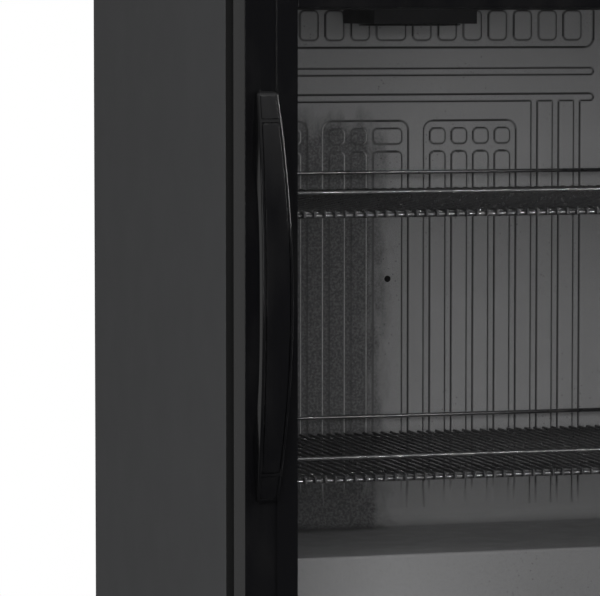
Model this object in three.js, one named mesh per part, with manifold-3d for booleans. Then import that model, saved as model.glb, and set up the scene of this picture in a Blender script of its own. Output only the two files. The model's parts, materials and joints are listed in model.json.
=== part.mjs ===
// Under counter fridge with one glass door hinged on the right, in millimetres, +Z up.
// The door faces -Y. The origin is on the floor, at the middle of the overall footprint.
import * as THREE from 'three';
import { mergeVertices } from 'three/addons/utils/BufferGeometryUtils.js';
import Module from 'manifold-3d';

const wasm = await Module();
wasm.setup();

// ---- Driving dimensions ----
const width = 600;
const height = 850;
const depthWithoutHandle = 600;
const handleReach = 45;
const footHeight = 22;
const sideDepth = 532;
const doorThickness = 40;
const stileWidth = 50;
const worktopThickness = 30;
const sheet = 1.2; // painted sheet steel
const gap = 0.2; // between fixed neighbours
const running = 0.3; // between parts that move
const over = 1; // a cutter passes this far beyond the face that it opens

// ---- Places worked out from them ----
const halfWidth = width / 2;
const overallDepth = depthWithoutHandle + handleReach;
const backY = overallDepth / 2;
const doorFaceY = handleReach - overallDepth / 2;
const doorBackY = doorFaceY + doorThickness;
const frontY = backY - sideDepth; // the plane that the gasket closes on
const worktopZ = height - worktopThickness;
const doorBottomZ = 96;
const doorTopZ = worktopZ - 8;
const insideX = halfWidth - sheet; // inner face of a side panel
const fillX = insideX - gap;

// Inside of the storage compartment
const liner = {
  halfWidth: 255, floorZ: 124, ceilingZ: 784, backY: 250, humpY: 30, humpZ: 215, wall: 1.5, backWall: 3,
};
// Machine room behind and below the compartment
const machine = { frontY: 60, roofZ: 185, wallZ: 88 };
const recessY = 301.2; // rear face of the rear panel; the condenser hangs behind it

// Door hinge line
const hinge = { x: 284, y: doorFaceY + doorThickness / 2, pinRadius: 5, pinLength: 18, bushRadius: 9 };

const black = 0x0b0b0c;
const paint = {
  darkGrey: new THREE.MeshStandardMaterial({ color: 0x2e2f31, roughness: 0.55, metalness: 0.2 }),
  glossBlack: new THREE.MeshStandardMaterial({ color: black, roughness: 0.18, metalness: 0 }),
  satinBlack: new THREE.MeshStandardMaterial({ color: 0x141415, roughness: 0.45, metalness: 0 }),
  linerGrey: new THREE.MeshStandardMaterial({ color: 0x3c3d3f, roughness: 0.5, metalness: 0 }),
  blackWire: new THREE.MeshStandardMaterial({ color: 0x18181a, roughness: 0.4, metalness: 0.1 }),
  glass: new THREE.MeshStandardMaterial({ color: 0xdfe6e8, roughness: 0.03, metalness: 0 }),
  rubber: new THREE.MeshStandardMaterial({ color: 0x111112, roughness: 0.85, metalness: 0 }),
  steel: new THREE.MeshStandardMaterial({ color: 0x9a9da0, roughness: 0.35, metalness: 0.9 }),
  zinc: new THREE.MeshStandardMaterial({ color: 0xb4b7b8, roughness: 0.45, metalness: 0.8 }),
  copper: new THREE.MeshStandardMaterial({ color: 0xb06a42, roughness: 0.35, metalness: 0.95 }),
  aluminium: new THREE.MeshStandardMaterial({ color: 0xc4c6c8, roughness: 0.4, metalness: 0.9 }),
  foam: new THREE.MeshStandardMaterial({ color: 0xd8c48a, roughness: 0.95, metalness: 0 }),
  whitePlastic: new THREE.MeshStandardMaterial({ color: 0xd9dadb, roughness: 0.4, metalness: 0 }),
  display: new THREE.MeshStandardMaterial({ color: 0x1a0506, roughness: 0.1, metalness: 0 }),
};

// ---- Geometry helpers ----
// A box between low and high values on each axis.
function slab([x0, x1], [y0, y1], [z0, z1]) {
  const box = new THREE.BoxGeometry(x1 - x0, y1 - y0, z1 - z0);
  return box.translate((x0 + x1) / 2, (y0 + y1) / 2, (z0 + z1) / 2);
}

function outline(points) {
  return new THREE.Shape(points.map(([a, b]) => new THREE.Vector2(a, b)));
}

const extrude = (shape, depth, curveSegments = 12) =>
  new THREE.ExtrudeGeometry(shape, { depth, bevelEnabled: false, curveSegments });

// A shape drawn in X and Y, standing from z0 to z1.
const prismZ = (shape, [z0, z1], segments) => extrude(shape, z1 - z0, segments).translate(0, 0, z0);

// A shape drawn in Y and Z, reaching from x0 to x1.
function prismX(shape, [x0, x1], segments) {
  const turn = new THREE.Matrix4().makeBasis(
    new THREE.Vector3(0, 1, 0), new THREE.Vector3(0, 0, 1), new THREE.Vector3(1, 0, 0));
  return extrude(shape, x1 - x0, segments).applyMatrix4(turn).translate(x0, 0, 0);
}

// A shape drawn in X and Z, reaching from y0 to y1.
function prismY(shape, [y0, y1], segments) {
  return extrude(shape, y1 - y0, segments).rotateX(Math.PI / 2).translate(0, y1, 0);
}

// A cylinder along one axis, between low and high on that axis, about the other two coordinates.
function rod(axis, radius, [low, high], [a, b], sides = 16) {
  const cylinder = new THREE.CylinderGeometry(radius, radius, high - low, sides);
  const middle = (low + high) / 2;
  if (axis === 'x') return cylinder.rotateZ(-Math.PI / 2).translate(middle, a, b);
  if (axis === 'y') return cylinder.translate(a, middle, b);
  return cylinder.rotateX(Math.PI / 2).translate(a, b, middle);
}

// A profile of [radius, height] points turned about the Z axis; it starts and ends on the axis
// or closes on itself.
const turned = (profile, sides = 24) =>
  new THREE.LatheGeometry(profile.map(([r, z]) => new THREE.Vector2(r, z)), sides).rotateX(Math.PI / 2);

// A path through straight runs, sampled exactly at its own points.
class BentPath extends THREE.Curve {
  constructor(points) {
    super();
    this.points = points;
  }

  getPoint(t, target = new THREE.Vector3()) {
    const at = t * (this.points.length - 1);
    const i = Math.min(Math.floor(at), this.points.length - 2);
    return target.lerpVectors(this.points[i], this.points[i + 1], at - i);
  }

  getTangent(t, target = new THREE.Vector3()) {
    const at = Math.round(t * (this.points.length - 1));
    const before = this.points[Math.max(at - 1, 0)];
    const here = this.points[at];
    const after = this.points[Math.min(at + 1, this.points.length - 1)];
    const arriving = here.clone().sub(before).normalize();
    const leaving = after.clone().sub(here).normalize();
    return target.copy(arriving).add(leaving).normalize();
  }

  getUtoTmapping(u) {
    return u;
  }
}

// Corners rounded to a bend radius, with a few points round each bend.
function rounded(corners, bend, steps = 3) {
  const v = corners.map(([x, y, z]) => new THREE.Vector3(x, y, z));
  const points = [v[0]];
  for (let i = 1; i < v.length - 1; i++) {
    const into = v[i - 1].clone().sub(v[i]).setLength(bend).add(v[i]);
    const out = v[i + 1].clone().sub(v[i]).setLength(bend).add(v[i]);
    const arc = new THREE.QuadraticBezierCurve3(into, v[i], out);
    points.push(...arc.getPoints(steps));
  }
  points.push(v[v.length - 1]);
  return points;
}

// A round bar or pipe that follows a path of points.
function pipe(points, radius, sides = 8) {
  const section = new THREE.Shape().absarc(0, 0, radius, 0, 2 * Math.PI);
  return new THREE.ExtrudeGeometry(section, {
    extrudePath: new BentPath(points), steps: points.length - 1, curveSegments: sides / 2,
    bevelEnabled: false,
  });
}

// ---- Joining and cutting ----
function toSolid(geometry) {
  const bare = geometry.clone();
  bare.deleteAttribute('normal');
  bare.deleteAttribute('uv');
  const merged = mergeVertices(bare, 1e-4);
  return new wasm.Manifold(new wasm.Mesh({
    numProp: 3,
    vertProperties: merged.attributes.position.array,
    triVerts: Uint32Array.from(merged.index.array),
  }));
}

function toGeometry(solid) {
  const { vertProperties, triVerts } = solid.getMesh();
  const geometry = new THREE.BufferGeometry();
  geometry.setAttribute('position', new THREE.BufferAttribute(vertProperties, 3));
  geometry.setIndex(new THREE.BufferAttribute(triVerts, 1));
  geometry.computeVertexNormals();
  return geometry;
}

const join = (...parts) => toGeometry(parts.map(toSolid).reduce((whole, part) => whole.add(part)));
const cut = (base, ...tools) =>
  toGeometry(tools.map(toSolid).reduce((left, tool) => left.subtract(tool), toSolid(base)));
const overlap = (a, b) => toGeometry(toSolid(a).intersect(toSolid(b)));

// A rectangular frame: outer and inner are [x range, z range].
const frameRing = (outer, inner, [y0, y1]) =>
  cut(slab(outer[0], [y0, y1], outer[1]), slab(inner[0], [y0 - 1, y1 + 1], inner[1]));

const spread = (half) => [-half, half];
const grow = ([low, high], by) => [low - by, high + by];

function add(parent, name, geometry, material, position = [0, 0, 0]) {
  const mesh = new THREE.Mesh(geometry, material);
  mesh.name = name;
  mesh.position.set(...position);
  parent.add(mesh);
}

function subGroup(parent, position) {
  const group = new THREE.Group();
  group.position.set(...position);
  parent.add(group);
  return group;
}

// ---- Cabinet shell ----
const frontFlange = 38;
const rearFlange = 25;

// A channel of sheet steel: the side itself, a flange across the front and one across the rear.
function sidePanel(side) {
  const x = (fromOutside) => side * (halfWidth - fromOutside);
  const section = outline([
    [x(0), frontY], [x(frontFlange), frontY], [x(frontFlange), frontY + sheet], [x(sheet), frontY + sheet],
    [x(sheet), backY - sheet], [x(rearFlange), backY - sheet], [x(rearFlange), backY], [x(0), backY],
  ]);
  return prismZ(section, [footHeight, worktopZ - gap]);
}

// Lock: the barrel sits in the worktop's front edge and its cam drops into the door's top edge.
const lock = {
  x: -215, z: worktopZ + worktopThickness / 2, radius: 9, camY: doorFaceY + 15.5, camThickness: 2.5,
  camHalfWidth: 5, camReach: 33,
};
const lockSlot = (reach) => [lock.x - lock.camHalfWidth - 1, lock.x + reach];
const lockSlotY = [lock.camY - 1, lock.camY + lock.camThickness + 1];
const keeper = { reach: 26, marginX: 6, marginY: 5, thickness: 2, pitDepth: 16 };

// A folded tray, open downwards, with a return under its front edge where it covers the door.
function worktop() {
  const skin = 1.5;
  const returnDepth = 72;
  const outer = slab(spread(halfWidth), [doorFaceY, backY], [worktopZ, height]);
  const inside = slab(
    spread(halfWidth - skin), [doorFaceY + skin, backY - skin], [worktopZ - over, height - skin]);
  const frontReturn = slab(
    spread(halfWidth - skin / 2), [doorFaceY + skin / 2, doorFaceY + returnDepth],
    [worktopZ, worktopZ + skin]);
  const barrelHole = rod(
    'y', lock.radius + running, [doorFaceY - over, doorFaceY + skin + over], [lock.x, lock.z], 24);
  const camSlot = slab(lockSlot(lock.camReach), lockSlotY, [worktopZ - over, worktopZ + skin + over]);
  return cut(join(cut(outer, inside), frontReturn), barrelHole, camSlot);
}

const feet = { x: 262, frontY: -170, rearY: 285, padRadius: 20, studRadius: 5 };

function basePan() {
  const rim = 18;
  const outer = slab(
    spread(fillX), [frontY + sheet + gap, backY - sheet - gap], [footHeight, footHeight + rim]);
  const inside = slab(
    spread(fillX - sheet), [frontY + 2 * sheet + gap, backY - 2 * sheet - gap],
    [footHeight + sheet, footHeight + rim + over]);
  const holes = [];
  for (const x of [-feet.x, feet.x]) {
    for (const y of [feet.frontY, feet.rearY]) {
      holes.push(rod('z', feet.studRadius + running, [footHeight - over, footHeight + sheet + over], [x, y]));
    }
  }
  return cut(outer, inside, ...holes);
}

// The pipe from the evaporator and the drain both pass down through foam and machine room roof.
const suction = { x: 196, y: 258, radius: 4 };
const drain = { x: -60, y: 232, radius: 7, wall: 2 };
const passage = 1; // clearance round a pipe that passes through a sheet or the foam

// One bent sheet closes the foam above and in front of the machine room.
function machineRoomPanel() {
  const { frontY: y, roofZ: z, wallZ } = machine;
  const section = outline([
    [y, wallZ], [y + sheet, wallZ], [y + sheet, z - sheet], [recessY - sheet - gap, z - sheet],
    [recessY - sheet - gap, z], [y, z],
  ]);
  return cut(
    prismX(section, spread(fillX)),
    rod('z', suction.radius + passage, grow([z - sheet, z], over), [suction.x, suction.y]),
    rod('z', drain.radius + passage, grow([z - sheet, z], over), [drain.x, drain.y]));
}

// ---- Insulation and liner ----
const linerFlange = { halfWidth: halfWidth - frontFlange - gap, thickness: 1.2, bottomZ: machine.wallZ };

// The side view of the compartment, grown outwards by an amount; it is open at the front.
function cavity(by, backBy, openY) {
  return outline([
    [openY, liner.floorZ - by], [liner.humpY + by, liner.floorZ - by], [liner.humpY + by, liner.humpZ - by],
    [liner.backY + backBy, liner.humpZ - by], [liner.backY + backBy, liner.ceilingZ + by],
    [openY, liner.ceilingZ + by],
  ]);
}

const evaporator = { halfWidth: 210, bottomZ: 300, topZ: 700, channel: 6, rise: 5, plate: 1.5, runs: 7 };
const pocket = { depth: 12, clear: 5 }; // the hollow behind the liner that holds the evaporator

function foamInsulation() {
  const bottomZ = machine.wallZ + gap;
  const section = outline([
    [frontY + linerFlange.thickness + gap, bottomZ], [machine.frontY - gap, bottomZ],
    [machine.frontY - gap, machine.roofZ + gap], [recessY - sheet - gap, machine.roofZ + gap],
    [recessY - sheet - gap, worktopZ - gap], [frontY + linerFlange.thickness + gap, worktopZ - gap],
  ]);
  const hollow = prismX(
    cavity(liner.wall + gap, liner.backWall + gap, frontY - over),
    spread(liner.halfWidth + liner.wall + gap));
  const platePocket = slab(
    spread(evaporator.halfWidth + pocket.clear),
    [liner.backY + over, liner.backY + liner.backWall + pocket.depth],
    grow([evaporator.bottomZ, evaporator.topZ], pocket.clear));
  const suctionWay = slab(
    grow([suction.x, suction.x], suction.radius + passage),
    grow([suction.y, suction.y], suction.radius + passage),
    [machine.roofZ - over, evaporator.bottomZ]);
  const drainWay = rod(
    'z', drain.radius + passage, [machine.roofZ - over, liner.humpZ], [drain.x, drain.y]);
  return cut(prismX(section, spread(fillX)), hollow, platePocket, suctionWay, drainWay);
}

// The back wall is pressed: grooves at an even pitch leave strips between them, a wider one in the middle.
const press = { groove: 7, strip: 17, middle: 32, depth: 1.8, lastStrip: 9, margin: 12 };
const panels = [[-7, -4], [-2, 0], [2, 5]]; // first and last strip of each panel; strip 0 is the wide one
const rowGrooves = [[611, 618.9], [635.3, 643.3]]; // below and above each panel's row of short cells
const bandGrooves = [[663.5, 670.9], [691.1, 698.4], [720.3, 728]]; // across the whole wall

// A strip by its number from the middle; a negative number is on the left.
function stripSpan(k) {
  if (k === 0) return spread(press.middle / 2);
  const near = press.middle / 2 + press.groove + (Math.abs(k) - 1) * (press.groove + press.strip);
  return k > 0 ? [near, near + press.strip] : [-near - press.strip, -near];
}

function backWallGrooves() {
  const y = [liner.backY - over, liner.backY + press.depth];
  const upright = [liner.humpZ + press.margin, rowGrooves[1][1]];
  const grooves = bandGrooves.map((z) => slab(spread(liner.halfWidth - press.margin), y, z));
  for (let k = 1; k <= press.lastStrip; k++) {
    const near = stripSpan(k)[0];
    grooves.push(slab([near - press.groove, near], y, upright));
    grooves.push(slab([-near, press.groove - near], y, upright));
  }
  for (const [first, last] of panels) {
    const x = grow([stripSpan(first)[0], stripSpan(last)[1]], press.groove);
    grooves.push(...rowGrooves.map((z) => slab(x, y, z)));
  }
  return grooves;
}

const shelfPlane = { upper: 573.8, lower: 316.9 };
const shelfBackY = 238;
const shelfDepth = { upper: 435, lower: 370 };
const shelfDrop = 8; // from the top of the wires to the underside of the cross rods
const ledge = { reach: 9, height: 8, fromFront: 12 };

// A moulded ledge on each side wall under each shelf.
function ledges() {
  const made = [];
  for (const z of Object.values(shelfPlane)) {
    for (const side of [-1, 1]) {
      const x = [side * (liner.halfWidth + liner.wall / 2), side * (liner.halfWidth - ledge.reach)];
      const top = z - shelfDrop - running;
      made.push(slab(
        x.sort((a, b) => a - b), [frontY + ledge.fromFront, liner.backY + over], [top - ledge.height, top]));
    }
  }
  return made;
}

function innerLiner() {
  const shell = prismX(
    cavity(liner.wall, liner.backWall, frontY), spread(liner.halfWidth + liner.wall));
  const flange = slab(
    spread(linerFlange.halfWidth), [frontY, frontY + linerFlange.thickness],
    [linerFlange.bottomZ, worktopZ - gap]);
  const inside = prismX(cavity(0, 0, frontY - over), spread(liner.halfWidth));
  const drainHole = rod(
    'z', drain.radius - drain.wall, grow([liner.humpZ - liner.wall, liner.humpZ], over), [drain.x, drain.y]);
  return join(cut(join(shell, flange), inside, drainHole, ...backWallGrooves()), ...ledges());
}

// ---- Cooling parts ----
// A plate with one raised channel that runs to and fro across it, bonded behind the liner.
function evaporatorPlate() {
  const y0 = liner.backY + liner.backWall + gap;
  const y1 = y0 + evaporator.plate;
  const { halfWidth: half, bottomZ, topZ, channel, rise, runs } = evaporator;
  const margin = 2 * channel;
  const pitch = (topZ - bottomZ - 2 * margin) / (runs - 1);
  const channelY = [y1 - evaporator.plate / 2, y1 + rise];
  const raised = [];
  for (let i = 0; i < runs; i++) {
    const z = bottomZ + margin + i * pitch;
    raised.push(slab(spread(half - margin), channelY, grow([z, z], channel / 2)));
    if (i === runs - 1) continue;
    const end = (i % 2 === 0 ? 1 : -1) * (half - margin - channel / 2);
    raised.push(slab(grow([end, end], channel / 2), channelY, [z, z + pitch]));
  }
  return join(slab(spread(half), [y0, y1], [bottomZ, topZ]), ...raised);
}

const condenser = {
  halfWidth: 235, bottomZ: 215, topZ: 795, y: 311, tube: 2.5, wire: 0.8, runs: 12, wires: 8, wireMargin: 18,
  wireOverhang: 8,
};

// One serpentine tube with wires welded across both sides of it.
function condenserCoil() {
  const { halfWidth: half, bottomZ, topZ, y, tube, wire, runs, wires, wireMargin, wireOverhang } = condenser;
  const pitch = (topZ - bottomZ) / (runs - 1);
  const corners = [];
  for (let i = 0; i < runs; i++) {
    const z = bottomZ + i * pitch;
    const ends = i % 2 === 0 ? [-half, half] : [half, -half];
    corners.push([ends[0], y, z], [ends[1], y, z]);
  }
  const serpentine = pipe(rounded(corners, pitch * 0.45, 2), tube, 6);
  const uprights = [];
  for (let i = 0; i < wires; i++) {
    const x = -half + wireMargin + (i * 2 * (half - wireMargin)) / (wires - 1);
    const side = y + (i % 2 === 0 ? -tube : tube);
    uprights.push(slab(grow([x, x], wire), grow([side, side], wire), grow([bottomZ, topZ], wireOverhang)));
  }
  return join(serpentine, ...uprights);
}

const compressor = { x: -60, y: 195, railZ: 40, radius: 70, stretch: 1.25, height: 118 };
const rail = { halfX: 118, halfY: 62, thickness: 3, legX: 104, legY: 50, legRadius: 10 };
const relay = { reach: 34, halfWidth: 28, height: 52, rise: 22 };
const tray = { halfX: 70, halfY: 52, height: 12, wall: 1.5, hoseRise: 4 };
const drier = { x: -250, y: 290, z: 80 };

// A welded steel pot: a drum with a domed top and bottom, wider than it is deep.
function compressorShell() {
  const { radius: r, height: h } = compressor;
  const profile = [
    [0, 0], [r * 0.7, 0], [r * 0.93, h * 0.1], [r, h * 0.22], [r, h * 0.62], [r * 0.95, h * 0.78],
    [r * 0.75, h * 0.92], [r * 0.4, h * 0.985], [0, h],
  ];
  return turned(profile, 32).scale(compressor.stretch, 1, 1);
}

function compressorRail() {
  const plate = slab(spread(rail.halfX), spread(rail.halfY), [0, rail.thickness]);
  const legLength = compressor.railZ - footHeight - sheet - gap;
  const legs = [];
  for (const x of [-rail.legX, rail.legX]) {
    for (const y of [-rail.legY, rail.legY]) {
      legs.push(rod('z', rail.legRadius, [-legLength, rail.thickness / 2], [x, y], 12));
    }
  }
  return join(plate, ...legs);
}

const relayBox = () => slab([0, relay.reach], spread(relay.halfWidth), [0, relay.height]);

// The vessel stands upright with necked ends.
function filterDrier() {
  const profile = [[0, 0], [3, 0], [3, 8], [9, 18], [9, 78], [3, 88], [3, 96], [0, 96]];
  return turned(profile, 12);
}

function dripTray() {
  const { halfX, halfY, height: rim, wall } = tray;
  return cut(
    slab(spread(halfX), spread(halfY), [0, rim]),
    slab(spread(halfX - wall), spread(halfY - wall), [wall, rim + over]));
}

function drainHose([z0, z1]) {
  const ring = new THREE.Shape().absarc(0, 0, drain.radius, 0, 2 * Math.PI);
  ring.holes.push(new THREE.Path().absarc(0, 0, drain.radius - drain.wall, 0, 2 * Math.PI));
  return prismZ(ring, [z0, z1], 8);
}

const pipeBend = 14;
const pipeLaneY = 281; // behind the compressor and the suction pipe's drop
const condenserEntryX = -condenser.halfWidth - 30;

// From the pot's rear to the top of the condenser.
function dischargePipe() {
  const x = compressor.x - 40;
  const z = compressor.railZ + 60;
  const weldY = compressor.y + compressor.radius + 4;
  return pipe(rounded([
    [x, weldY, z], [x, pipeLaneY + 4, z], [x - 50, pipeLaneY + 4, z + 40],
    [condenserEntryX, condenser.y, z + 60], [condenserEntryX, condenser.y, condenser.topZ],
    [-condenser.halfWidth - condenser.tube, condenser.y, condenser.topZ],
  ], pipeBend), 3);
}

// From the evaporator down to the pot's rear.
function suctionPipe() {
  const x = compressor.x + 30;
  const z = 90;
  return pipe(rounded([
    [suction.x, suction.y, evaporator.bottomZ - 2], [suction.x, suction.y, z + 60],
    [suction.x, pipeLaneY, z + 20], [x, pipeLaneY, z], [x, compressor.y + compressor.radius - 3, z],
  ], pipeBend), suction.radius);
}

function machineRoom(parent) {
  const pot = subGroup(parent, [compressor.x, compressor.y, compressor.railZ]);
  add(pot, 'compressor_rail', compressorRail(), paint.steel);
  add(pot, 'compressor_shell', compressorShell(), paint.satinBlack, [0, 0, rail.thickness + gap]);
  const potHalf = compressor.radius * compressor.stretch;
  add(pot, 'compressor_relay_box', relayBox(), paint.satinBlack, [potHalf + gap, 0, relay.rise]);
  const trayZ = compressor.railZ + rail.thickness + compressor.height + 2 * gap;
  add(parent, 'drip_tray', dripTray(), paint.satinBlack, [compressor.x, compressor.y, trayZ]);
  add(parent, 'drain_hose', drainHose([trayZ + tray.hoseRise, liner.humpZ - liner.wall - gap]), paint.rubber,
    [drain.x, drain.y, 0]);
  add(parent, 'filter_drier', filterDrier(), paint.copper, [drier.x, drier.y, drier.z]);
  add(parent, 'discharge_pipe', dischargePipe(), paint.copper);
  add(parent, 'suction_pipe', suctionPipe(), paint.copper);
}

const cordGrip = { x: 262, y: backY - 0.7, z: 60 };
const cordCoil = { x: 225, y: 313, z: 108, radius: 34, cordRadius: 3, turns: 3, steps: 14, drift: 7 };
const plug = { x: 150, y: 300, z: 60, pinSpacing: 19, pinRadius: 2.4, bodyLength: 42, pinLength: 19 };

// The cord is coiled against the rear for carrying.
function coiledCord() {
  const { x, y, z, radius, turns, steps, drift } = cordCoil;
  const points = [];
  for (let i = 0; i <= turns * steps; i++) {
    const turn = i / steps;
    const angle = turn * 2 * Math.PI;
    points.push(new THREE.Vector3(
      x + radius * Math.cos(angle), y - turn * drift, z + radius * Math.sin(angle)));
  }
  return pipe(points, cordCoil.cordRadius, 6);
}

function powerPlug() {
  const body = turned([[0, 0], [8, 0], [17, 12], [20, 30], [20, plug.bodyLength], [0, plug.bodyLength]], 16);
  const pins = [-1, 1].map((side) => rod(
    'z', plug.pinRadius, [plug.bodyLength - over, plug.bodyLength + plug.pinLength],
    [(side * plug.pinSpacing) / 2, 0], 8));
  return join(body, ...pins).rotateX(Math.PI / 2);
}

function cord(parent) {
  add(parent, 'power_cord', coiledCord(), paint.rubber);
  add(parent, 'power_plug', powerPlug(), paint.satinBlack, [plug.x, plug.y, plug.z]);
  const grip = turned([[0, 0], [12, 0], [12, 4], [7, 5], [7, 16], [0, 16]], 12).rotateX(Math.PI / 2);
  add(parent, 'cord_grip', grip, paint.satinBlack, [cordGrip.x, cordGrip.y, cordGrip.z]);
}

// ---- Inside fittings ----
const fan = {
  y: 175, half: 55, depth: 38, bore: 47, hub: 15, top: 4, armTop: 3, armDepth: 5, armHalfY: 3, motorDepth: 15,
  ventHalfX: 35, ventHalfY: 8, ventY: 30, roofSkin: 5,
};
const blade = { count: 5, chord: 22, thickness: 1.6, twist: 0.45, tipClear: 2.5, hubHalf: 7, z: -27 };
const guard = { radii: [16, 34, 53], band: 2, barHalf: 1, bars: 3 };

// A square duct under the ceiling; a cross arm holds the motor in its middle.
function fanHousing() {
  const box = slab(spread(fan.half), spread(fan.half), [-fan.depth, 0]);
  const bore = rod('z', fan.bore, [-fan.depth - over, -fan.top], [0, 0], 32);
  const motor = rod('z', fan.hub, [-fan.armTop - fan.motorDepth, -fan.armTop], [0, 0], 20);
  const arm = slab(spread(fan.bore + over), spread(fan.armHalfY), [-fan.armTop - fan.armDepth, -fan.armTop]);
  const vents = [-fan.ventY, fan.ventY].map((y) =>
    slab(spread(fan.ventHalfX), grow([y, y], fan.ventHalfY), [-fan.roofSkin, over]));
  return join(cut(box, bore, ...vents), motor, arm);
}

function fanBlades() {
  const length = fan.bore - fan.hub - over;
  const middle = (fan.bore + fan.hub) / 2 - blade.tipClear;
  const blades = [];
  for (let i = 0; i < blade.count; i++) {
    const made = new THREE.BoxGeometry(length, blade.chord, blade.thickness);
    made.rotateX(blade.twist).translate(middle, 0, 0).rotateZ((i * 2 * Math.PI) / blade.count);
    blades.push(made);
  }
  return join(rod('z', fan.hub, spread(blade.hubHalf), [0, 0], 20), ...blades);
}

function fanGuard() {
  const rings = guard.radii.map((radius) => {
    const band = new THREE.Shape().absarc(0, 0, radius, 0, 2 * Math.PI);
    band.holes.push(new THREE.Path().absarc(0, 0, radius - guard.band, 0, 2 * Math.PI));
    return prismZ(band, [0, guard.band], 8);
  });
  const reach = Math.max(...guard.radii);
  for (let i = 0; i < guard.bars; i++) {
    const bar = slab(spread(reach), spread(guard.barHalf), [0, guard.band]);
    rings.push(bar.rotateZ((i * Math.PI) / guard.bars));
  }
  return join(...rings);
}

const lamp = { y: -150, halfX: 200, halfY: 14, depth: 14, wall: 2, boardInset: 6, boardHalfY: 8, board: 1.6 };
const probe = { y: 150, z: 700, depth: 8, halfY: 11, halfZ: 16, tipRadius: 3.5, tipHalf: 30, tipX: -5 };

function lampCover() {
  return cut(
    slab(spread(lamp.halfX), spread(lamp.halfY), [-lamp.depth, 0]),
    slab(spread(lamp.halfX - lamp.wall), spread(lamp.halfY - lamp.wall), [lamp.wall - lamp.depth, over]));
}

// A clip on the side wall holds the sensing tube.
function temperatureProbe() {
  return join(
    slab([-probe.depth, 0], spread(probe.halfY), spread(probe.halfZ)),
    rod('z', probe.tipRadius, spread(probe.tipHalf), [probe.tipX, 0], 12));
}

function insideFittings(parent) {
  const underCeiling = liner.ceilingZ - gap;
  const fanGroup = subGroup(parent, [0, fan.y, underCeiling]);
  add(fanGroup, 'fan_housing', fanHousing(), paint.satinBlack);
  add(fanGroup, 'fan_blades', fanBlades(), paint.satinBlack, [0, 0, blade.z]);
  add(fanGroup, 'fan_guard', fanGuard(), paint.blackWire, [0, 0, -fan.depth - guard.band - gap]);

  add(parent, 'lamp_cover', lampCover(), paint.whitePlastic, [0, lamp.y, underCeiling]);
  const board = slab(spread(lamp.halfX - lamp.boardInset), spread(lamp.boardHalfY), [-lamp.board, 0]);
  add(parent, 'led_board', board, paint.whitePlastic, [0, lamp.y, underCeiling]);
  add(parent, 'temperature_probe', temperatureProbe(), paint.satinBlack,
    [liner.halfWidth - gap, probe.y, probe.z]);
}

// ---- Shelves ----
const shelf = { halfWidth: 250, pitch: 10, wire: 3, rod: 5, railHeight: 18 };

// Wires from back to front on cross rods, with a raised rail along the back and the front.
// The frame starts at the top of the wires, at the rear edge.
function wireShelf(depth) {
  const { halfWidth: half, pitch, wire, rod: bar, railHeight } = shelf;
  const bars = [];
  for (let x = -half + pitch; x < half; x += pitch) {
    bars.push(slab([x - wire / 2, x + wire / 2], [-depth + 1, -1], [-wire, 0]));
  }
  const rodZ = [-shelfDrop, -wire];
  for (const share of [0, 0.5, 1]) {
    const y = -bar / 2 - share * (depth - bar);
    bars.push(slab(spread(half), [y - bar / 2, y + bar / 2], rodZ));
  }
  for (const y of [-bar / 2, -depth + bar / 2]) {
    bars.push(slab(spread(half), [y - wire / 2, y + wire / 2], [railHeight - wire, railHeight]));
    for (const side of [-1, 1]) {
      const x = side * (half - wire / 2);
      bars.push(slab([x - wire / 2, x + wire / 2], [y - wire / 2, y + wire / 2], [-4, railHeight - 1]));
    }
  }
  for (const side of [-1, 1]) {
    const x = side * (half - bar / 2);
    bars.push(slab([x - bar / 2, x + bar / 2], [-depth + 1, -1], rodZ));
  }
  return join(...bars);
}

// ---- Plinth with the controls ----
const plinth = {
  frontY: -255, bottomZ: 25, topZ: 86, wall: 2, sideClear: 1, rearClear: 3.5, slotRows: 5, slotPitch: 9,
  slotHalfX: 34, slotHalfZ: 2, firstSlotX: -232, slotStepX: 80, slotColumns: 4, cutoutClear: 0.5,
};
const plinthMidZ = (plinth.bottomZ + plinth.topZ) / 2;
const controller = {
  x: 140, halfWidth: 38, halfHeight: 17, bodyHalfWidth: 35, bodyHalfHeight: 14, depth: 52, bezel: 2.5,
  overlap: 0.5, lensX: [-31, -5], lensHalfHeight: 9, lensFloor: 1, lensRecess: 0.2,
};
const button = {
  names: ['set', 'up', 'down'], size: 8, pitch: 13, firstX: 4, length: 5, proud: 1, rearClear: 1.2,
};
const lampSwitch = {
  x: 215, halfWidth: 15, halfHeight: 11, rockerHalfWidth: 9, rockerHalfHeight: 6, bezel: 2.5, overlap: 0.5,
  bodyInset: 3, bodyDepth: 20, cutoutInset: 2, wellDepth: 10, wellFront: 4, wellClear: 1,
};

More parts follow.
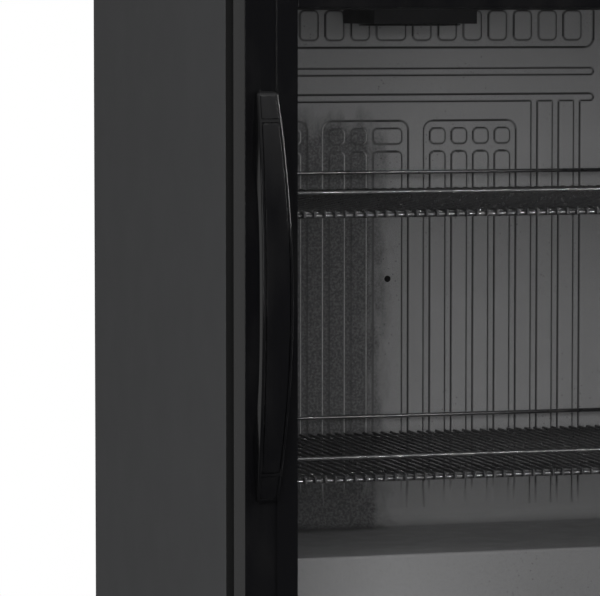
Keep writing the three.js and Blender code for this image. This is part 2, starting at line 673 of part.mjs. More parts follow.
function plinthGrille() {
  const { frontY: y, bottomZ, topZ, wall, cutoutClear } = plinth;
  const fullX = halfWidth - plinth.sideClear;
  const through = grow([y, y + wall], over);
  const outer = slab(spread(fullX), [y, frontY - plinth.rearClear], [bottomZ, topZ]);
  const inside = slab(spread(fullX - wall), [y + wall, frontY], grow([bottomZ, topZ], -wall));
  const slots = [];
  for (let row = 0; row < plinth.slotRows; row++) {
    const z = plinthMidZ + (row - (plinth.slotRows - 1) / 2) * plinth.slotPitch;
    for (let column = 0; column < plinth.slotColumns; column++) {
      const x = plinth.firstSlotX + column * plinth.slotStepX;
      slots.push(slab(grow([x, x], plinth.slotHalfX), through, grow([z, z], plinth.slotHalfZ)));
    }
  }
  const controllerHole = slab(
    grow([controller.x, controller.x], controller.bodyHalfWidth + cutoutClear), through,
    grow([plinthMidZ, plinthMidZ], controller.bodyHalfHeight + cutoutClear));
  const switchHole = slab(
    grow([lampSwitch.x, lampSwitch.x], lampSwitch.halfWidth - lampSwitch.cutoutInset), through,
    grow([plinthMidZ, plinthMidZ], lampSwitch.halfHeight - lampSwitch.cutoutInset));
  return cut(outer, inside, ...slots, controllerHole, switchHole);
}

// The controller is drawn about the middle of its bezel, whose back is against the plinth.
function controllerParts(parent) {
  const panel = subGroup(parent, [controller.x, plinth.frontY - gap, plinthMidZ]);
  const { bezel: bezelDepth, overlap: into, lensX, lensHalfHeight, lensFloor } = controller;
  const bezel = slab(spread(controller.halfWidth), [-bezelDepth, 0], spread(controller.halfHeight));
  const body = slab(
    spread(controller.bodyHalfWidth), [-into, controller.depth], spread(controller.bodyHalfHeight));
  const pockets = [slab(lensX, [-bezelDepth - over, -lensFloor], spread(lensHalfHeight))];
  const reach = button.size / 2;
  button.names.forEach((name, i) => {
    const x = button.firstX + i * button.pitch;
    pockets.push(slab(
      grow([x, x], reach + running), [-bezelDepth - over, button.length], spread(reach + running)));
    const key = slab(
      spread(reach), [-bezelDepth - button.proud, button.length - button.rearClear], spread(reach));
    add(panel, `button_${name}`, key, paint.satinBlack, [x, 0, 0]);
  });
  add(panel, 'controller_housing', cut(join(bezel, body), ...pockets), paint.satinBlack);
  const lens = slab(
    grow(lensX, -running), [controller.lensRecess - bezelDepth, -lensFloor - gap],
    spread(lensHalfHeight - running));
  add(panel, 'display_lens', lens, paint.display);
}

function lampSwitchParts(parent) {
  const group = subGroup(parent, [lampSwitch.x, plinth.frontY - gap, plinthMidZ]);
  const { halfWidth: w, halfHeight: h, rockerHalfWidth: rw, rockerHalfHeight: rh, bodyInset } = lampSwitch;
  const bezel = slab(spread(w), [-lampSwitch.bezel, 0], spread(h));
  const body = slab(
    spread(w - bodyInset), [-lampSwitch.overlap, lampSwitch.bodyDepth], spread(h - bodyInset));
  const well = slab(
    spread(rw + running), [-lampSwitch.wellFront, lampSwitch.wellDepth], spread(rh + lampSwitch.wellClear));
  add(group, 'lamp_switch_bezel', cut(join(bezel, body), well), paint.satinBlack);
  const rocker = outline([[-3.5, -rh], [-2.2, 0], [-3.5, rh], [4, rh], [6, 0], [4, -rh]]);
  add(group, 'lamp_switch_rocker', prismX(rocker, spread(rw)), paint.satinBlack);
}

// ---- Hinges ----
const hingePlate = {
  x: [262, 298], y: [-271, frontY - 4], top: 4.8, bottom: 4, tabDrop: 42, tabThickness: 3,
};
const hingeClearance = 4; // between the lower bracket and the door's bottom edge
const bush = { depth: 17, flangeRadius: 13 };

function topHingePlate() {
  const topZ = worktopZ - gap;
  const plate = slab(hingePlate.x, hingePlate.y, [topZ - hingePlate.top, topZ]);
  const pin = rod(
    'z', hinge.pinRadius, [topZ - hingePlate.top - hinge.pinLength, topZ - over], [hinge.x, hinge.y], 24);
  return join(plate, pin);
}

function bottomHingeBracket() {
  const topZ = doorBottomZ - hingeClearance;
  const plate = slab(hingePlate.x, [hingePlate.y[0], frontY - gap], [topZ - hingePlate.bottom, topZ]);
  const tab = slab(
    hingePlate.x, [frontY - hingePlate.tabThickness - gap, frontY - gap], [topZ - hingePlate.tabDrop, topZ]);
  const pin = rod('z', hinge.pinRadius, [topZ - over, topZ + hinge.pinLength], [hinge.x, hinge.y], 24);
  return join(plate, tab, pin);
}

// A flanged sleeve; the flange keeps the door off the hinge plate.
function hingeBush(flange, depth) {
  const inner = hinge.pinRadius + running;
  return turned([
    [inner, 0], [hinge.bushRadius, 0], [hinge.bushRadius, depth], [bush.flangeRadius, depth],
    [bush.flangeRadius, depth + flange], [inner, depth + flange], [inner, 0],
  ], 24);
}

// ---- Door, drawn with y = 0 at its front face ----
const glass = { front: 6, thickness: 4, cavity: 18, rebate: 9 };
const packBack = glass.front + 2 * glass.thickness + glass.cavity;
const opening = { x: halfWidth - stileWidth, z: [doorBottomZ + stileWidth, doorTopZ - stileWidth] };
const groove = { from: 15, to: 30, depth: 1.5 };

// Left stile section; the right one is its mirror image.
function stileSection(side) {
  const x = (fromOutside) => side * (halfWidth - fromOutside);
  const lip = stileWidth;
  const seat = stileWidth - glass.rebate;
  return outline([
    [x(0), 0], [x(groove.from), 0], [x(groove.from), groove.depth], [x(groove.to), groove.depth],
    [x(groove.to), 0], [x(lip), 0], [x(lip), glass.front - gap], [x(seat), glass.front - gap],
    [x(seat), packBack + gap], [x(lip), packBack + gap], [x(lip), doorThickness], [x(0), doorThickness],
  ]);
}

// Rail section in Y and Z, from its outer edge at z = 0 towards the glass.
function railSection(outerZ, towards) {
  const z = (fromOutside) => outerZ + towards * fromOutside;
  const seat = stileWidth - glass.rebate;
  return outline([
    [0, z(0)], [0, z(stileWidth)], [glass.front - gap, z(stileWidth)], [glass.front - gap, z(seat)],
    [packBack + gap, z(seat)], [packBack + gap, z(stileWidth)], [doorThickness, z(stileWidth)],
    [doorThickness, z(0)],
  ]);
}

const handle = {
  fromEdge: 19, z: 500, halfLength: 187, halfGap: 124, endStand: 9, endHalfWidth: 10, midHalfWidth: 14.5,
  thick: 13,
};

// The bow seen from the side: an outer arc, and a flatter inner arc that lands on two pads.
function handleGrip() {
  const { halfLength: l, halfGap: g, endStand, thick } = handle;
  const inner = handleReach - thick;
  const side = new THREE.Shape();
  side.moveTo(-gap, -l);
  side.lineTo(-endStand, -l);
  side.quadraticCurveTo(-2 * handleReach + endStand, 0, -endStand, l);
  side.lineTo(-gap, l);
  side.lineTo(-gap, g);
  side.bezierCurveTo(-inner * 0.62, g * 0.94, -inner, g * 0.55, -inner, 0);
  side.bezierCurveTo(-inner, -g * 0.55, -inner * 0.62, -g * 0.94, -gap, -g);
  const { endHalfWidth: e, midHalfWidth: m } = handle;
  const front = new THREE.Shape();
  front.moveTo(-e, -l - 1);
  front.quadraticCurveTo(e - 2 * m, 0, -e, l + 1);
  front.lineTo(e, l + 1);
  front.quadraticCurveTo(2 * m - e, 0, e, -l - 1);
  return overlap(
    prismX(side, spread(m + 1), 20), prismY(front, [-handleReach - 2, 2], 20));
}

// Both ends of the bow carry a thin cap over the fixing screw.
const cap = { length: 22, depth: 1, inset: 2 };

function handleParts(parent) {
  const whole = handleGrip();
  const l = handle.halfLength;
  const capZone = (side, by) => slab(
    spread(handle.endHalfWidth - cap.inset + by),
    [-handleReach, -handle.endStand + cap.depth + by],
    [side * (l - cap.inset), side * (l - cap.length - by)].sort((a, b) => a - b));
  const grip = cut(whole, capZone(1, running), capZone(-1, running));
  add(parent, 'handle_grip', grip, paint.glossBlack);
  add(parent, 'handle_cap_upper', overlap(whole, capZone(1, 0)), paint.glossBlack);
  add(parent, 'handle_cap_lower', overlap(whole, capZone(-1, 0)), paint.glossBlack);
}

function door(parent) {
  const leaf = subGroup(parent, [0, doorFaceY, 0]);
  const span = [doorBottomZ, doorTopZ];
  const pinX = hinge.x;
  const pinY = doorThickness / 2;
  const bore = hinge.bushRadius + gap;
  const rightStile = cut(
    prismZ(stileSection(1), span),
    rod('z', bore, [doorBottomZ - over, doorBottomZ + bush.depth + gap], [pinX, pinY], 24),
    rod('z', bore, [doorTopZ - bush.depth - gap, doorTopZ + over], [pinX, pinY], 24));
  add(leaf, 'door_stile_left', prismZ(stileSection(-1), span), paint.glossBlack);
  add(leaf, 'door_stile_right', rightStile, paint.glossBlack);

  const railX = spread(opening.x - gap);
  const keeperX = lockSlot(keeper.reach);
  const keeperY = lockSlotY.map((y) => y - doorFaceY);
  const keeperSeat = slab(
    grow(keeperX, keeper.marginX), grow(keeperY, keeper.marginY),
    [doorTopZ - keeper.thickness, doorTopZ + over]);
  const keeperPit = slab(keeperX, keeperY, [doorTopZ - keeper.pitDepth, doorTopZ + over]);
  add(leaf, 'door_rail_top', cut(prismX(railSection(doorTopZ, -1), railX), keeperSeat, keeperPit),
    paint.glossBlack);
  add(leaf, 'door_rail_bottom', prismX(railSection(doorBottomZ, 1), railX), paint.glossBlack);
  const keeperPlate = cut(
    slab(
      grow(keeperX, keeper.marginX - running), grow(keeperY, keeper.marginY - running),
      [doorTopZ - keeper.thickness + gap, doorTopZ]),
    slab(keeperX, keeperY, [doorTopZ - keeper.thickness - over, doorTopZ + over]));
  add(leaf, 'lock_keeper', keeperPlate, paint.zinc);

  const paneX = spread(opening.x + glass.rebate - gap - running);
  const paneZ = grow(opening.z, glass.rebate - gap - running);
  const outerPane = [glass.front, glass.front + glass.thickness];
  const innerPane = [packBack - glass.thickness, packBack];
  add(leaf, 'outer_glass', slab(paneX, outerPane, paneZ), paint.glass);
  add(leaf, 'inner_glass', slab(paneX, innerPane, paneZ), paint.glass);
  add(leaf, 'glass_spacer', frameRing(
    [paneX, paneZ], [spread(opening.x), opening.z],
    [outerPane[1] + gap, innerPane[0] - gap]), paint.satinBlack);

  const innerFrame = { depth: 15, sideInset: 16, endInset: 8, lip: 2 };
  const frameX = spread(halfWidth - innerFrame.sideInset);
  const frameZ = [doorBottomZ + innerFrame.endInset, doorTopZ - innerFrame.endInset];
  const frameY = [doorThickness + gap, doorThickness + innerFrame.depth];
  const frameHole = [spread(opening.x - innerFrame.lip), grow(opening.z, -innerFrame.lip)];
  add(leaf, 'door_inner_frame', frameRing([frameX, frameZ], frameHole, frameY), paint.satinBlack);
  const gasket = { width: 14, crush: 0.5 };
  const gasketY = [frameY[1] + gap, frontY - doorFaceY - gasket.crush];
  add(leaf, 'door_gasket', frameRing(
    [frameX, frameZ], [grow(frameX, -gasket.width), grow(frameZ, -gasket.width)], gasketY), paint.rubber);

  handleParts(subGroup(leaf, [handle.fromEdge - halfWidth, 0, handle.z]));

  const bushDepth = bush.depth - gap;
  const topFlange = worktopZ - gap - hingePlate.top - doorTopZ - 2 * gap;
  add(leaf, 'hinge_bush_top', hingeBush(topFlange, bushDepth), paint.whitePlastic,
    [pinX, pinY, doorTopZ + gap - bushDepth]);
  const lowerBush = hingeBush(hingeClearance - 2 * gap, bushDepth).rotateX(Math.PI);
  add(leaf, 'hinge_bush_bottom', lowerBush, paint.whitePlastic, [pinX, pinY, doorBottomZ - gap + bushDepth]);
}

// ---- Lock and feet ----
function lockBarrel() {
  const head = rod('y', lock.radius + 2, [doorFaceY - 2, doorFaceY - gap], [lock.x, lock.z], 24);
  const barrel = rod('y', lock.radius, [doorFaceY - 1, lock.camY + 1], [lock.x, lock.z], 24);
  const keyway = slab(
    [lock.x - 1, lock.x + 1], [doorFaceY - 4, doorFaceY + 6], [lock.z - 4.5, lock.z + 4.5]);
  const cam = slab(
    [lock.x - lock.camHalfWidth, lock.x + lock.camReach], [lock.camY, lock.camY + lock.camThickness],
    [lock.z - lock.camHalfWidth, lock.z + lock.camHalfWidth]);
  return join(cut(join(head, barrel), keyway), cam);
}

// A threaded stud on a broad pad with a nut above it.
function levellingFoot() {
  const r = feet.padRadius;
  const pad = turned([[0, 0], [r - 2, 0], [r, 3], [r, 9], [9, 14], [0, 14]]);
  const nut = rod('z', 9, [13, footHeight - gap], [0, 0], 6);
  return join(pad, nut, rod('z', feet.studRadius, [12, footHeight + 14], [0, 0], 16));
}

// ---- Assembly ----
const fridge = new THREE.Group();
add(fridge, 'left_side_panel', sidePanel(-1), paint.darkGrey);
add(fridge, 'right_side_panel', sidePanel(1), paint.darkGrey);
add(fridge, 'worktop', worktop(), paint.satinBlack);
add(fridge, 'rear_panel', slab(
  spread(fillX), [recessY - sheet, recessY], [machine.roofZ - sheet, worktopZ - gap]), paint.zinc);
add(fridge, 'base_pan', basePan(), paint.zinc);
add(fridge, 'machine_room_panel', machineRoomPanel(), paint.zinc);
add(fridge, 'foam_insulation', foamInsulation(), paint.foam);
add(fridge, 'inner_liner', innerLiner(), paint.linerGrey);
add(fridge, 'evaporator_plate', evaporatorPlate(), paint.aluminium);
add(fridge, 'condenser_coil', condenserCoil(), paint.satinBlack);
add(fridge, 'plinth_grille', plinthGrille(), paint.satinBlack);
add(fridge, 'top_hinge_plate', topHingePlate(), paint.steel);
add(fridge, 'bottom_hinge_bracket', bottomHingeBracket(), paint.steel);
add(fridge, 'lock_barrel', lockBarrel(), paint.zinc);
machineRoom(fridge);
cord(fridge);
insideFittings(fridge);
controllerParts(fridge);
lampSwitchParts(fridge);
door(fridge);
for (const [level, z] of Object.entries(shelfPlane)) {
  add(fridge, `shelf_${level}`, wireShelf(shelfDepth[level]), paint.blackWire, [0, shelfBackY, z]);
}
for (const [end, y] of [['front', feet.frontY], ['rear', feet.rearY]]) {
  for (const [side, x] of [['left', -feet.x], ['right', feet.x]]) {
    add(fridge, `foot_${end}_${side}`, levellingFoot(), paint.satinBlack, [x, y, 0]);
  }
}

export default fridge;
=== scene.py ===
"""Looks of an under counter fridge with one glass door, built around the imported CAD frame.

Metres, +Z up, the door faces -Y. Lengths written in millimetres are multiplied by MM.
"""
import json
import math
from types import SimpleNamespace

import bmesh
import bpy
import numpy as np
from mathutils import Matrix, Vector


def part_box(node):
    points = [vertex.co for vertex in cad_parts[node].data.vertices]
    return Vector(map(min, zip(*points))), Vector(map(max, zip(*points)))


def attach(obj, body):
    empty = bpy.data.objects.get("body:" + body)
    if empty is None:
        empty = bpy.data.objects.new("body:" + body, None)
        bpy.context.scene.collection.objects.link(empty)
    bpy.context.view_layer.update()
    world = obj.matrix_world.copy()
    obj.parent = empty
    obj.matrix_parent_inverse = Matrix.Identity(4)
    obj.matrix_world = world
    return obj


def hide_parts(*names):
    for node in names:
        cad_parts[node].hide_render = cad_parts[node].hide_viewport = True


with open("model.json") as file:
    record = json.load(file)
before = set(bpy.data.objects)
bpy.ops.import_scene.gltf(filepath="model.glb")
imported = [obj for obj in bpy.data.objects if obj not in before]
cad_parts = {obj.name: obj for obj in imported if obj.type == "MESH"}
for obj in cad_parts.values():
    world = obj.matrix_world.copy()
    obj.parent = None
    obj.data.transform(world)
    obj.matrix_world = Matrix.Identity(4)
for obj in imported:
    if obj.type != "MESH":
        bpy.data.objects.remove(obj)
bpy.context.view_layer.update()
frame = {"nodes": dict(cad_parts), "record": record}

MM = 0.001
QUARTER = math.pi / 2  # of a turn


# ---- The compartment's inside faces ----
LINER_SIDE_MARGIN = 6.8 * MM  # from the flange's edge to the inner side wall
LINER_RIM = 36 * MM  # from the flange's edge to the floor and to the ceiling
LINER_BACK_WALL = 3 * MM
FILLET = 14 * MM
LINER_SHEET = 1.1 * MM
MOUTH_FILLET = 4 * MM
HUMP_FRONT, HUMP_RISE, HUMP_EDGE = 30 * MM, 91 * MM, 3 * MM


flange_low, flange_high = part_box("inner_liner")
liner = SimpleNamespace(
    side=flange_high.x - LINER_SIDE_MARGIN,
    front=flange_low.y,
    back=flange_high.y - LINER_BACK_WALL,
    floor=flange_low.z + LINER_RIM,
    ceiling=flange_high.z - LINER_RIM)
liner.hump_top = liner.floor + HUMP_RISE


# ---- Materials ----
WHITE = (1, 1, 1, 1)


class Tree:
    """The nodes of a material, of the surroundings or of a modifier."""

    def __init__(self, tree):
        self.tree = tree

    def feed(self, node, inputs):
        """Sets a node's inputs: a socket is linked to them, and a plain value becomes their default."""
        for key, value in inputs.items():
            if isinstance(value, bpy.types.NodeSocket):
                self.tree.links.new(value, node.inputs[key])
            else:
                node.inputs[key].default_value = value
        return node

    def node(self, kind, inputs=(), **settings):
        made = self.tree.nodes.new(kind)
        for key, value in settings.items():
            setattr(made, key, value)
        return self.feed(made, dict(inputs))

    def combine(self, operation, a, b):
        return self.node("ShaderNodeMath", {0: a, 1: b}, operation=operation).outputs[0]

    def times(self, a, b):
        return self.combine("MULTIPLY", a, b)

    def mix(self, share, first, second):
        return self.node("ShaderNodeMixShader", {0: share, 1: first, 2: second}).outputs[0]

    def level(self, source, low, high, into=(0.0, 1.0), **settings):
        """The source between low and high, moved onto another range."""
        limits = {"From Min": low, "From Max": high, "To Min": into[0], "To Max": into[1]}
        return self.node("ShaderNodeMapRange", {"Value": source, **limits}, **settings).outputs[0]

    def part_of(self, vector, axis):
        return self.node("ShaderNodeSeparateXYZ", {0: vector}).outputs[axis]


class Finish(Tree):
    """One procedural material: textures in the rest frame drive its colour, roughness and bump."""

    def __init__(self, material, colour, roughness, metallic=0.0, specular=0.5):
        super().__init__(material.node_tree)
        self.shader = self.tree.nodes["Principled BSDF"]
        self.place = self.node("ShaderNodeTexCoord").outputs["Object"]
        self.colour = (*colour, 1)
        self.roughness = roughness
        self.relief = {}
        self.feed(self.shader, {
            "Base Color": self.colour, "Roughness": roughness, "Metallic": metallic,
            "Specular IOR Level": specular})

    def noise(self, size_mm, detail=3.0, stretch=(1, 1, 1)):
        """Cloudy values about 0.5, with features of about size_mm."""
        place = self.node("ShaderNodeMapping", {"Vector": self.place, "Scale": stretch}).outputs[0]
        settings = {"Vector": place, "Scale": 1 / (size_mm * MM), "Detail": detail}
        return self.node("ShaderNodeTexNoise", settings).outputs["Fac"]

    def patches(self, size_mm, low, high, share=1.0, detail=3.0, stretch=(1, 1, 1)):
        """A mask from 0, where the noise is low, up to the share, where it is high."""
        return self.level(self.noise(size_mm, detail, stretch), low, high, (0, share))

    def cells(self, size_mm, output="Distance"):
        settings = {"Vector": self.place, "Scale": 1 / (size_mm * MM)}
        return self.node("ShaderNodeTexVoronoi", settings).outputs[output]

    def tint(self, mask, colour):
        """Moves the colour towards another one where the mask is high."""
        colours = {"Factor": mask, 6: self.colour, 7: (*colour, 1)}
        self.colour = self.node("ShaderNodeMix", colours, data_type="RGBA").outputs[2]
        self.feed(self.shader, {"Base Color": self.colour})

    def dull(self, mask, by):
        """Adds roughness where the mask is high."""
        self.feed(self.shader, {"Roughness": self.level(mask, 0, 1, (self.roughness, self.roughness + by))})

    def raised(self, source, height_mm):
        """Adds relief."""
        settings = {"Height": source, "Distance": height_mm * MM, **self.relief}
        self.relief = {"Normal": self.node("ShaderNodeBump", settings).outputs[0]}
        self.feed(self.shader, self.relief)

    def normal(self):
        return self.node("ShaderNodeNewGeometry").outputs["Normal"]

    def facing(self, axis):
        """One part of the surface's normal."""
        return self.part_of(self.normal(), axis)

    def worn(self, radius_mm, share, colour):
        """Tints worn edges, where a rounded normal differs from the true one."""
        rounded = self.node("ShaderNodeBevel", {"Radius": radius_mm * MM}, samples=4).outputs[0]
        alike = self.node("ShaderNodeVectorMath", {0: rounded, 1: self.normal()}, operation="DOT_PRODUCT")
        edges = self.times(self.level(alike.outputs["Value"], 0.99, 0.8), self.patches(9, 0.45, 0.6))
        self.tint(self.level(edges, 0, 1, (0, share)), colour)

    def dusty(self, mask):
        """Dust where the mask is high, on faces that look up."""
        self.tint(self.times(self.level(self.facing("Z"), 0.6, 1.0), mask), DUST)


DUST = (0.32, 0.31, 0.29)
PRESSED_EDGE_SHADE = (0.03, 0.03, 0.031)  # painted shade on the steep sides of the pressed pattern
# Painted shadow of the left door stile on the back wall, and painted highlights inside it; where the shadow
# ends and how its edge fades and wanders.
STILE_SHADOW_COLOUR, PAINTED_EDGE_HIGHLIGHT = (0.036, 0.036, 0.038), (0.55, 0.55, 0.55)
STILE_SHADOW_RIGHT, STILE_SHADOW_TOP = 3 * MM, 654 * MM
STILE_SHADOW_FADE, STILE_SHADOW_RAGGED = 26 * MM, 11 * MM

materials = {}


def new_material(name):
    made = bpy.data.materials.new(name)
    made.use_nodes = True
    return made


def finish(*look, **more):
    """Makes the material of the slot that the decorated function is named after."""
    def decorate(design):
        materials[design.__name__] = new_material(design.__name__)
        design(Finish(materials[design.__name__], *look, **more))
        return design
    return decorate


@finish((0.050, 0.051, 0.053), 0.42, specular=0.32)
def side_paint(paint):
    """Smooth dark grey paint with a faint orange peel, lighter worn edges, and painted shade on the faces
    that look forward, where the door shades them.
    """
    paint.tint(paint.patches(260, 0.35, 0.65, 0.12), (0.058, 0.059, 0.062))
    paint.worn(1.0, 0.5, (0.16, 0.16, 0.165))
    # Painted shade: the faces that look forward (-Y) go near black, standing in for the door's shadow on
    # them.
    paint.tint(paint.level(paint.facing("Y"), -0.8, -0.9), (0.010, 0.010, 0.010))
    paint.dull(paint.patches(60, 0.3, 0.7), 0.03)
    paint.raised(paint.noise(1.6), 0.012)


@finish((0.021, 0.021, 0.022), 0.38)
def top_paint(paint):
    """Fine textured black paint with a little dust."""
    paint.dusty(paint.patches(3, 0.5, 0.8, 0.10, 4))
    paint.worn(1.2, 0.5, (0.12, 0.12, 0.12))
    paint.dull(paint.patches(220, 0.3, 0.7, detail=2), 0.05)
    paint.raised(paint.noise(0.9), 0.02)


@finish((0.0030, 0.0030, 0.0034), 0.09)
def door_gloss(gloss):
    """Polished black moulding with wiping haze and a slightly wavy surface."""
    haze = gloss.patches(35, 0.45, 0.8, detail=6, stretch=(1, 1, 0.35))
    gloss.tint(gloss.level(haze, 0, 1, (0, 0.010)), DUST)
    gloss.worn(0.6, 0.15, (0.1, 0.1, 0.1))
    gloss.dull(haze, 0.12)
    gloss.raised(gloss.noise(40, 1), 0.02)
    gloss.raised(gloss.noise(0.7), 0.0012)


@finish((0.018, 0.018, 0.019), 0.5, specular=0.32)
def black_moulding(grain):
    """Black moulding with a fine spark-eroded grain."""
    grain.dusty(grain.patches(30, 0.45, 0.75, 0.12, 6))
    grain.worn(0.6, 0.3, (0.09, 0.09, 0.09))
    grain.dull(grain.patches(50, 0.35, 0.7), 0.14)
    grain.raised(grain.cells(0.6), 0.03)


def stile_shadow_zone(sheet):
    """High where the left door stile's painted shadow falls: the left of the back wall, below the pattern's
    top.
    """
    ragged = sheet.level(sheet.noise(12, 6, (1, 1, 0.35)), 0.3, 0.7, (-STILE_SHADOW_RAGGED, STILE_SHADOW_RAGGED))
    edges = []
    for axis, dry in (("X", STILE_SHADOW_RIGHT), ("Z", STILE_SHADOW_TOP)):
        moved = sheet.combine("ADD", sheet.part_of(sheet.place, axis), ragged)
        edges.append(sheet.level(moved, dry, dry - STILE_SHADOW_FADE))
    at_back = sheet.level(sheet.part_of(sheet.place, "Y"), liner.back - 40 * MM, liner.back - 20 * MM)
    # The painted shadow is speckled: its strength varies in small spots.
    shadow_speckle = sheet.level(sheet.noise(2.6, 3), 0.35, 0.6, (0.55, 1.0))
    return sheet.times(sheet.times(*edges), sheet.times(at_back, shadow_speckle))


@finish((0.262, 0.262, 0.265), 0.46)
def liner_plastic(sheet):
    """Vacuum-formed dark grey sheet: fine speckle, soft flow marks and dark specks, with a painted shadow
    of the left door stile, painted shade on the pressed pattern's steep sides and painted highlights on
    those sides inside the shadow.
    """
    sheet.tint(sheet.patches(90, 0.35, 0.7, 0.25, 4, (1, 1, 0.3)), (0.23, 0.23, 0.234))
    sheet.tint(sheet.patches(1.7, 0.55, 0.68, 0.3, 2), (0.16, 0.16, 0.163))
    specks = sheet.times(sheet.level(sheet.cells(6), 0.16, 0.1, (0, 0.6)), sheet.patches(70, 0.5, 0.6))
    sheet.tint(specks, (0.05, 0.05, 0.052))
    # Painted shadow of the left door stile on the back wall, speckled.
    stile_shadow = stile_shadow_zone(sheet)
    sheet.tint(sheet.level(stile_shadow, 0, 1, (0, 0.85)), STILE_SHADOW_COLOUR)
    # Painted shade on the steep sides of the pressed pattern, left out inside the painted stile shadow.
    at_back = sheet.level(sheet.part_of(sheet.place, "Y"), liner.back - 1.5 * MM, liner.back)
    edge = sheet.times(at_back, sheet.level(sheet.facing("Y"), -0.97, -0.72))
    sheet.tint(sheet.times(edge, sheet.level(stile_shadow, 1, 0)), PRESSED_EDGE_SHADE)
    # Painted highlight on the steep sides that face +X, inside the painted stile shadow.
    glint = sheet.times(edge, sheet.level(sheet.facing("X"), 0.1, 0.5))
    sheet.tint(sheet.times(glint, stile_shadow), PAINTED_EDGE_HIGHLIGHT)
    sheet.dull(sheet.patches(22, 0.35, 0.7), 0.14)
    sheet.raised(sheet.noise(1.1), 0.03)


@finish((0.017, 0.017, 0.018), 0.26)
def wire_coat(coat):
    """Black dip coating, slightly lumpy and glossy."""
    coat.tint(coat.patches(14, 0.55, 0.8, 0.12, 5), DUST)
    coat.dull(coat.patches(9, 0.35, 0.7), 0.16)
    coat.raised(coat.noise(2.2), 0.05)


def pane_glass():
    """Clear glass: light goes straight through, and more of it is reflected the flatter it comes in."""
    material = new_material("pane_glass")
    glass = Tree(material.node_tree)
    smear = glass.node("ShaderNodeTexNoise", {"Scale": 9, "Detail": 6}).outputs["Fac"]
    smear = glass.level(smear, 0, 1, (0.02, 0.12))
    mirror = glass.node("ShaderNodeBsdfGlossy", {"Roughness": smear}).outputs[0]
    clear = glass.node("ShaderNodeBsdfTransparent", {"Color": (0.985, 0.985, 0.985, 1)}).outputs[0]
    flatness = glass.node("ShaderNodeLayerWeight").outputs["Facing"]
    share = glass.level(glass.combine("POWER", flatness, 5), 0, 1, (0.022, 1))
    glass.tree.nodes.remove(glass.tree.nodes["Principled BSDF"])
    glass.feed(glass.tree.nodes["Material Output"], {"Surface": glass.mix(share, clear, mirror)})
    return material


materials["pane_glass"] = pane_glass()


@finish((0.010, 0.010, 0.010), 0.66, specular=0.2)
def seal_rubber(rubber):
    """Soft black rubber with a powdery bloom."""
    rubber.tint(rubber.patches(18, 0.5, 0.8, 0.12, 5), DUST)
    rubber.dull(rubber.patches(7, 0.35, 0.7), 0.15)
    rubber.raised(rubber.noise(0.8), 0.02)


@finish((0.46, 0.47, 0.475), 0.38, metallic=0.85)
def zinc_sheet(zinc):
    """Galvanised sheet with its spangle and a few rub marks."""
    zinc.tint(zinc.level(zinc.cells(9, "Color"), 0.1, 0.9, (0, 0.5)), (0.34, 0.35, 0.36))
    zinc.tint(zinc.patches(70, 0.55, 0.8, 0.25, 6), (0.25, 0.25, 0.25))
    zinc.dull(zinc.level(zinc.cells(9, "Color"), 0, 1), 0.2)
    zinc.raised(zinc.noise(2.5), 0.01)


@finish((0.5, 0.5, 0.5), 0.26, metallic=0.95)
def hinge_steel(steel):
    """Zinc plated steel, brushed one way, with darker handling marks."""
    steel.tint(steel.patches(12, 0.5, 0.75, 0.5, 6), (0.3, 0.29, 0.27))
    steel.dull(steel.patches(2, 0.3, 0.7, detail=4, stretch=(8, 1, 1)), 0.2)
    steel.raised(steel.noise(0.5, 2, (14, 1, 1)), 0.006)


@finish((0.62, 0.29, 0.15), 0.25, metallic=1.0)
def copper_pipe(copper):
    """Drawn copper with brown oxide and paler rubbed places."""
    copper.tint(copper.patches(22, 0.42, 0.7, 0.75, 6), (0.24, 0.11, 0.06))
    copper.dull(copper.patches(9, 0.35, 0.7), 0.3)
    copper.raised(copper.noise(1.5), 0.01)


@finish((0.7, 0.71, 0.72), 0.3, metallic=1.0)
def evaporator_alloy(alloy):
    """Rolled aluminium plate with rolling streaks."""
    alloy.tint(alloy.patches(30, 0.4, 0.7, 0.4, 5, (1, 1, 0.1)), (0.5, 0.51, 0.52))
    alloy.dull(alloy.patches(3, 0.3, 0.7, stretch=(1, 1, 0.05)), 0.2)
    alloy.raised(alloy.noise(1.0, 2, (1, 1, 0.05)), 0.01)


@finish((0.66, 0.54, 0.27), 0.9, specular=0.2)
def foam(skin):
    """Rigid foam: an open, pitted, yellowish skin."""
    skin.tint(skin.patches(40, 0.35, 0.7, 0.6, 5), (0.55, 0.42, 0.18))
    skin.raised(skin.cells(2.2), 0.6)


@finish((0.74, 0.74, 0.72), 0.36)
def white_moulding(white):
    """White plastic, faintly yellowed, with a fine grain."""
    white.tint(white.patches(60, 0.4, 0.7, 0.4), (0.66, 0.65, 0.6))
    white.dull(white.patches(14, 0.35, 0.7), 0.15)
    white.raised(white.noise(0.8), 0.012)


@finish((0.03, 0.003, 0.004), 0.06)
def display_lens(lens):
    """Dark red smoked lens."""
    lens.tint(lens.patches(9, 0.5, 0.8, 0.05, 5), DUST)
    lens.dull(lens.patches(6, 0.45, 0.8, detail=5), 0.15)
    lens.raised(lens.noise(4), 0.005)


@finish((0.016, 0.016, 0.017), 0.3)
def machine_black(enamel):
    """Thick black compressor enamel with runs, dust and a few rust freckles."""
    enamel.dusty(enamel.patches(12, 0.35, 0.7, 0.5, 6))
    freckles = enamel.times(enamel.level(enamel.cells(7), 0.12, 0.06), enamel.patches(40, 0.5, 0.62))
    enamel.tint(freckles, (0.2, 0.07, 0.03))
    enamel.dull(enamel.patches(20, 0.35, 0.7), 0.25)
    enamel.raised(enamel.noise(3.5), 0.06)


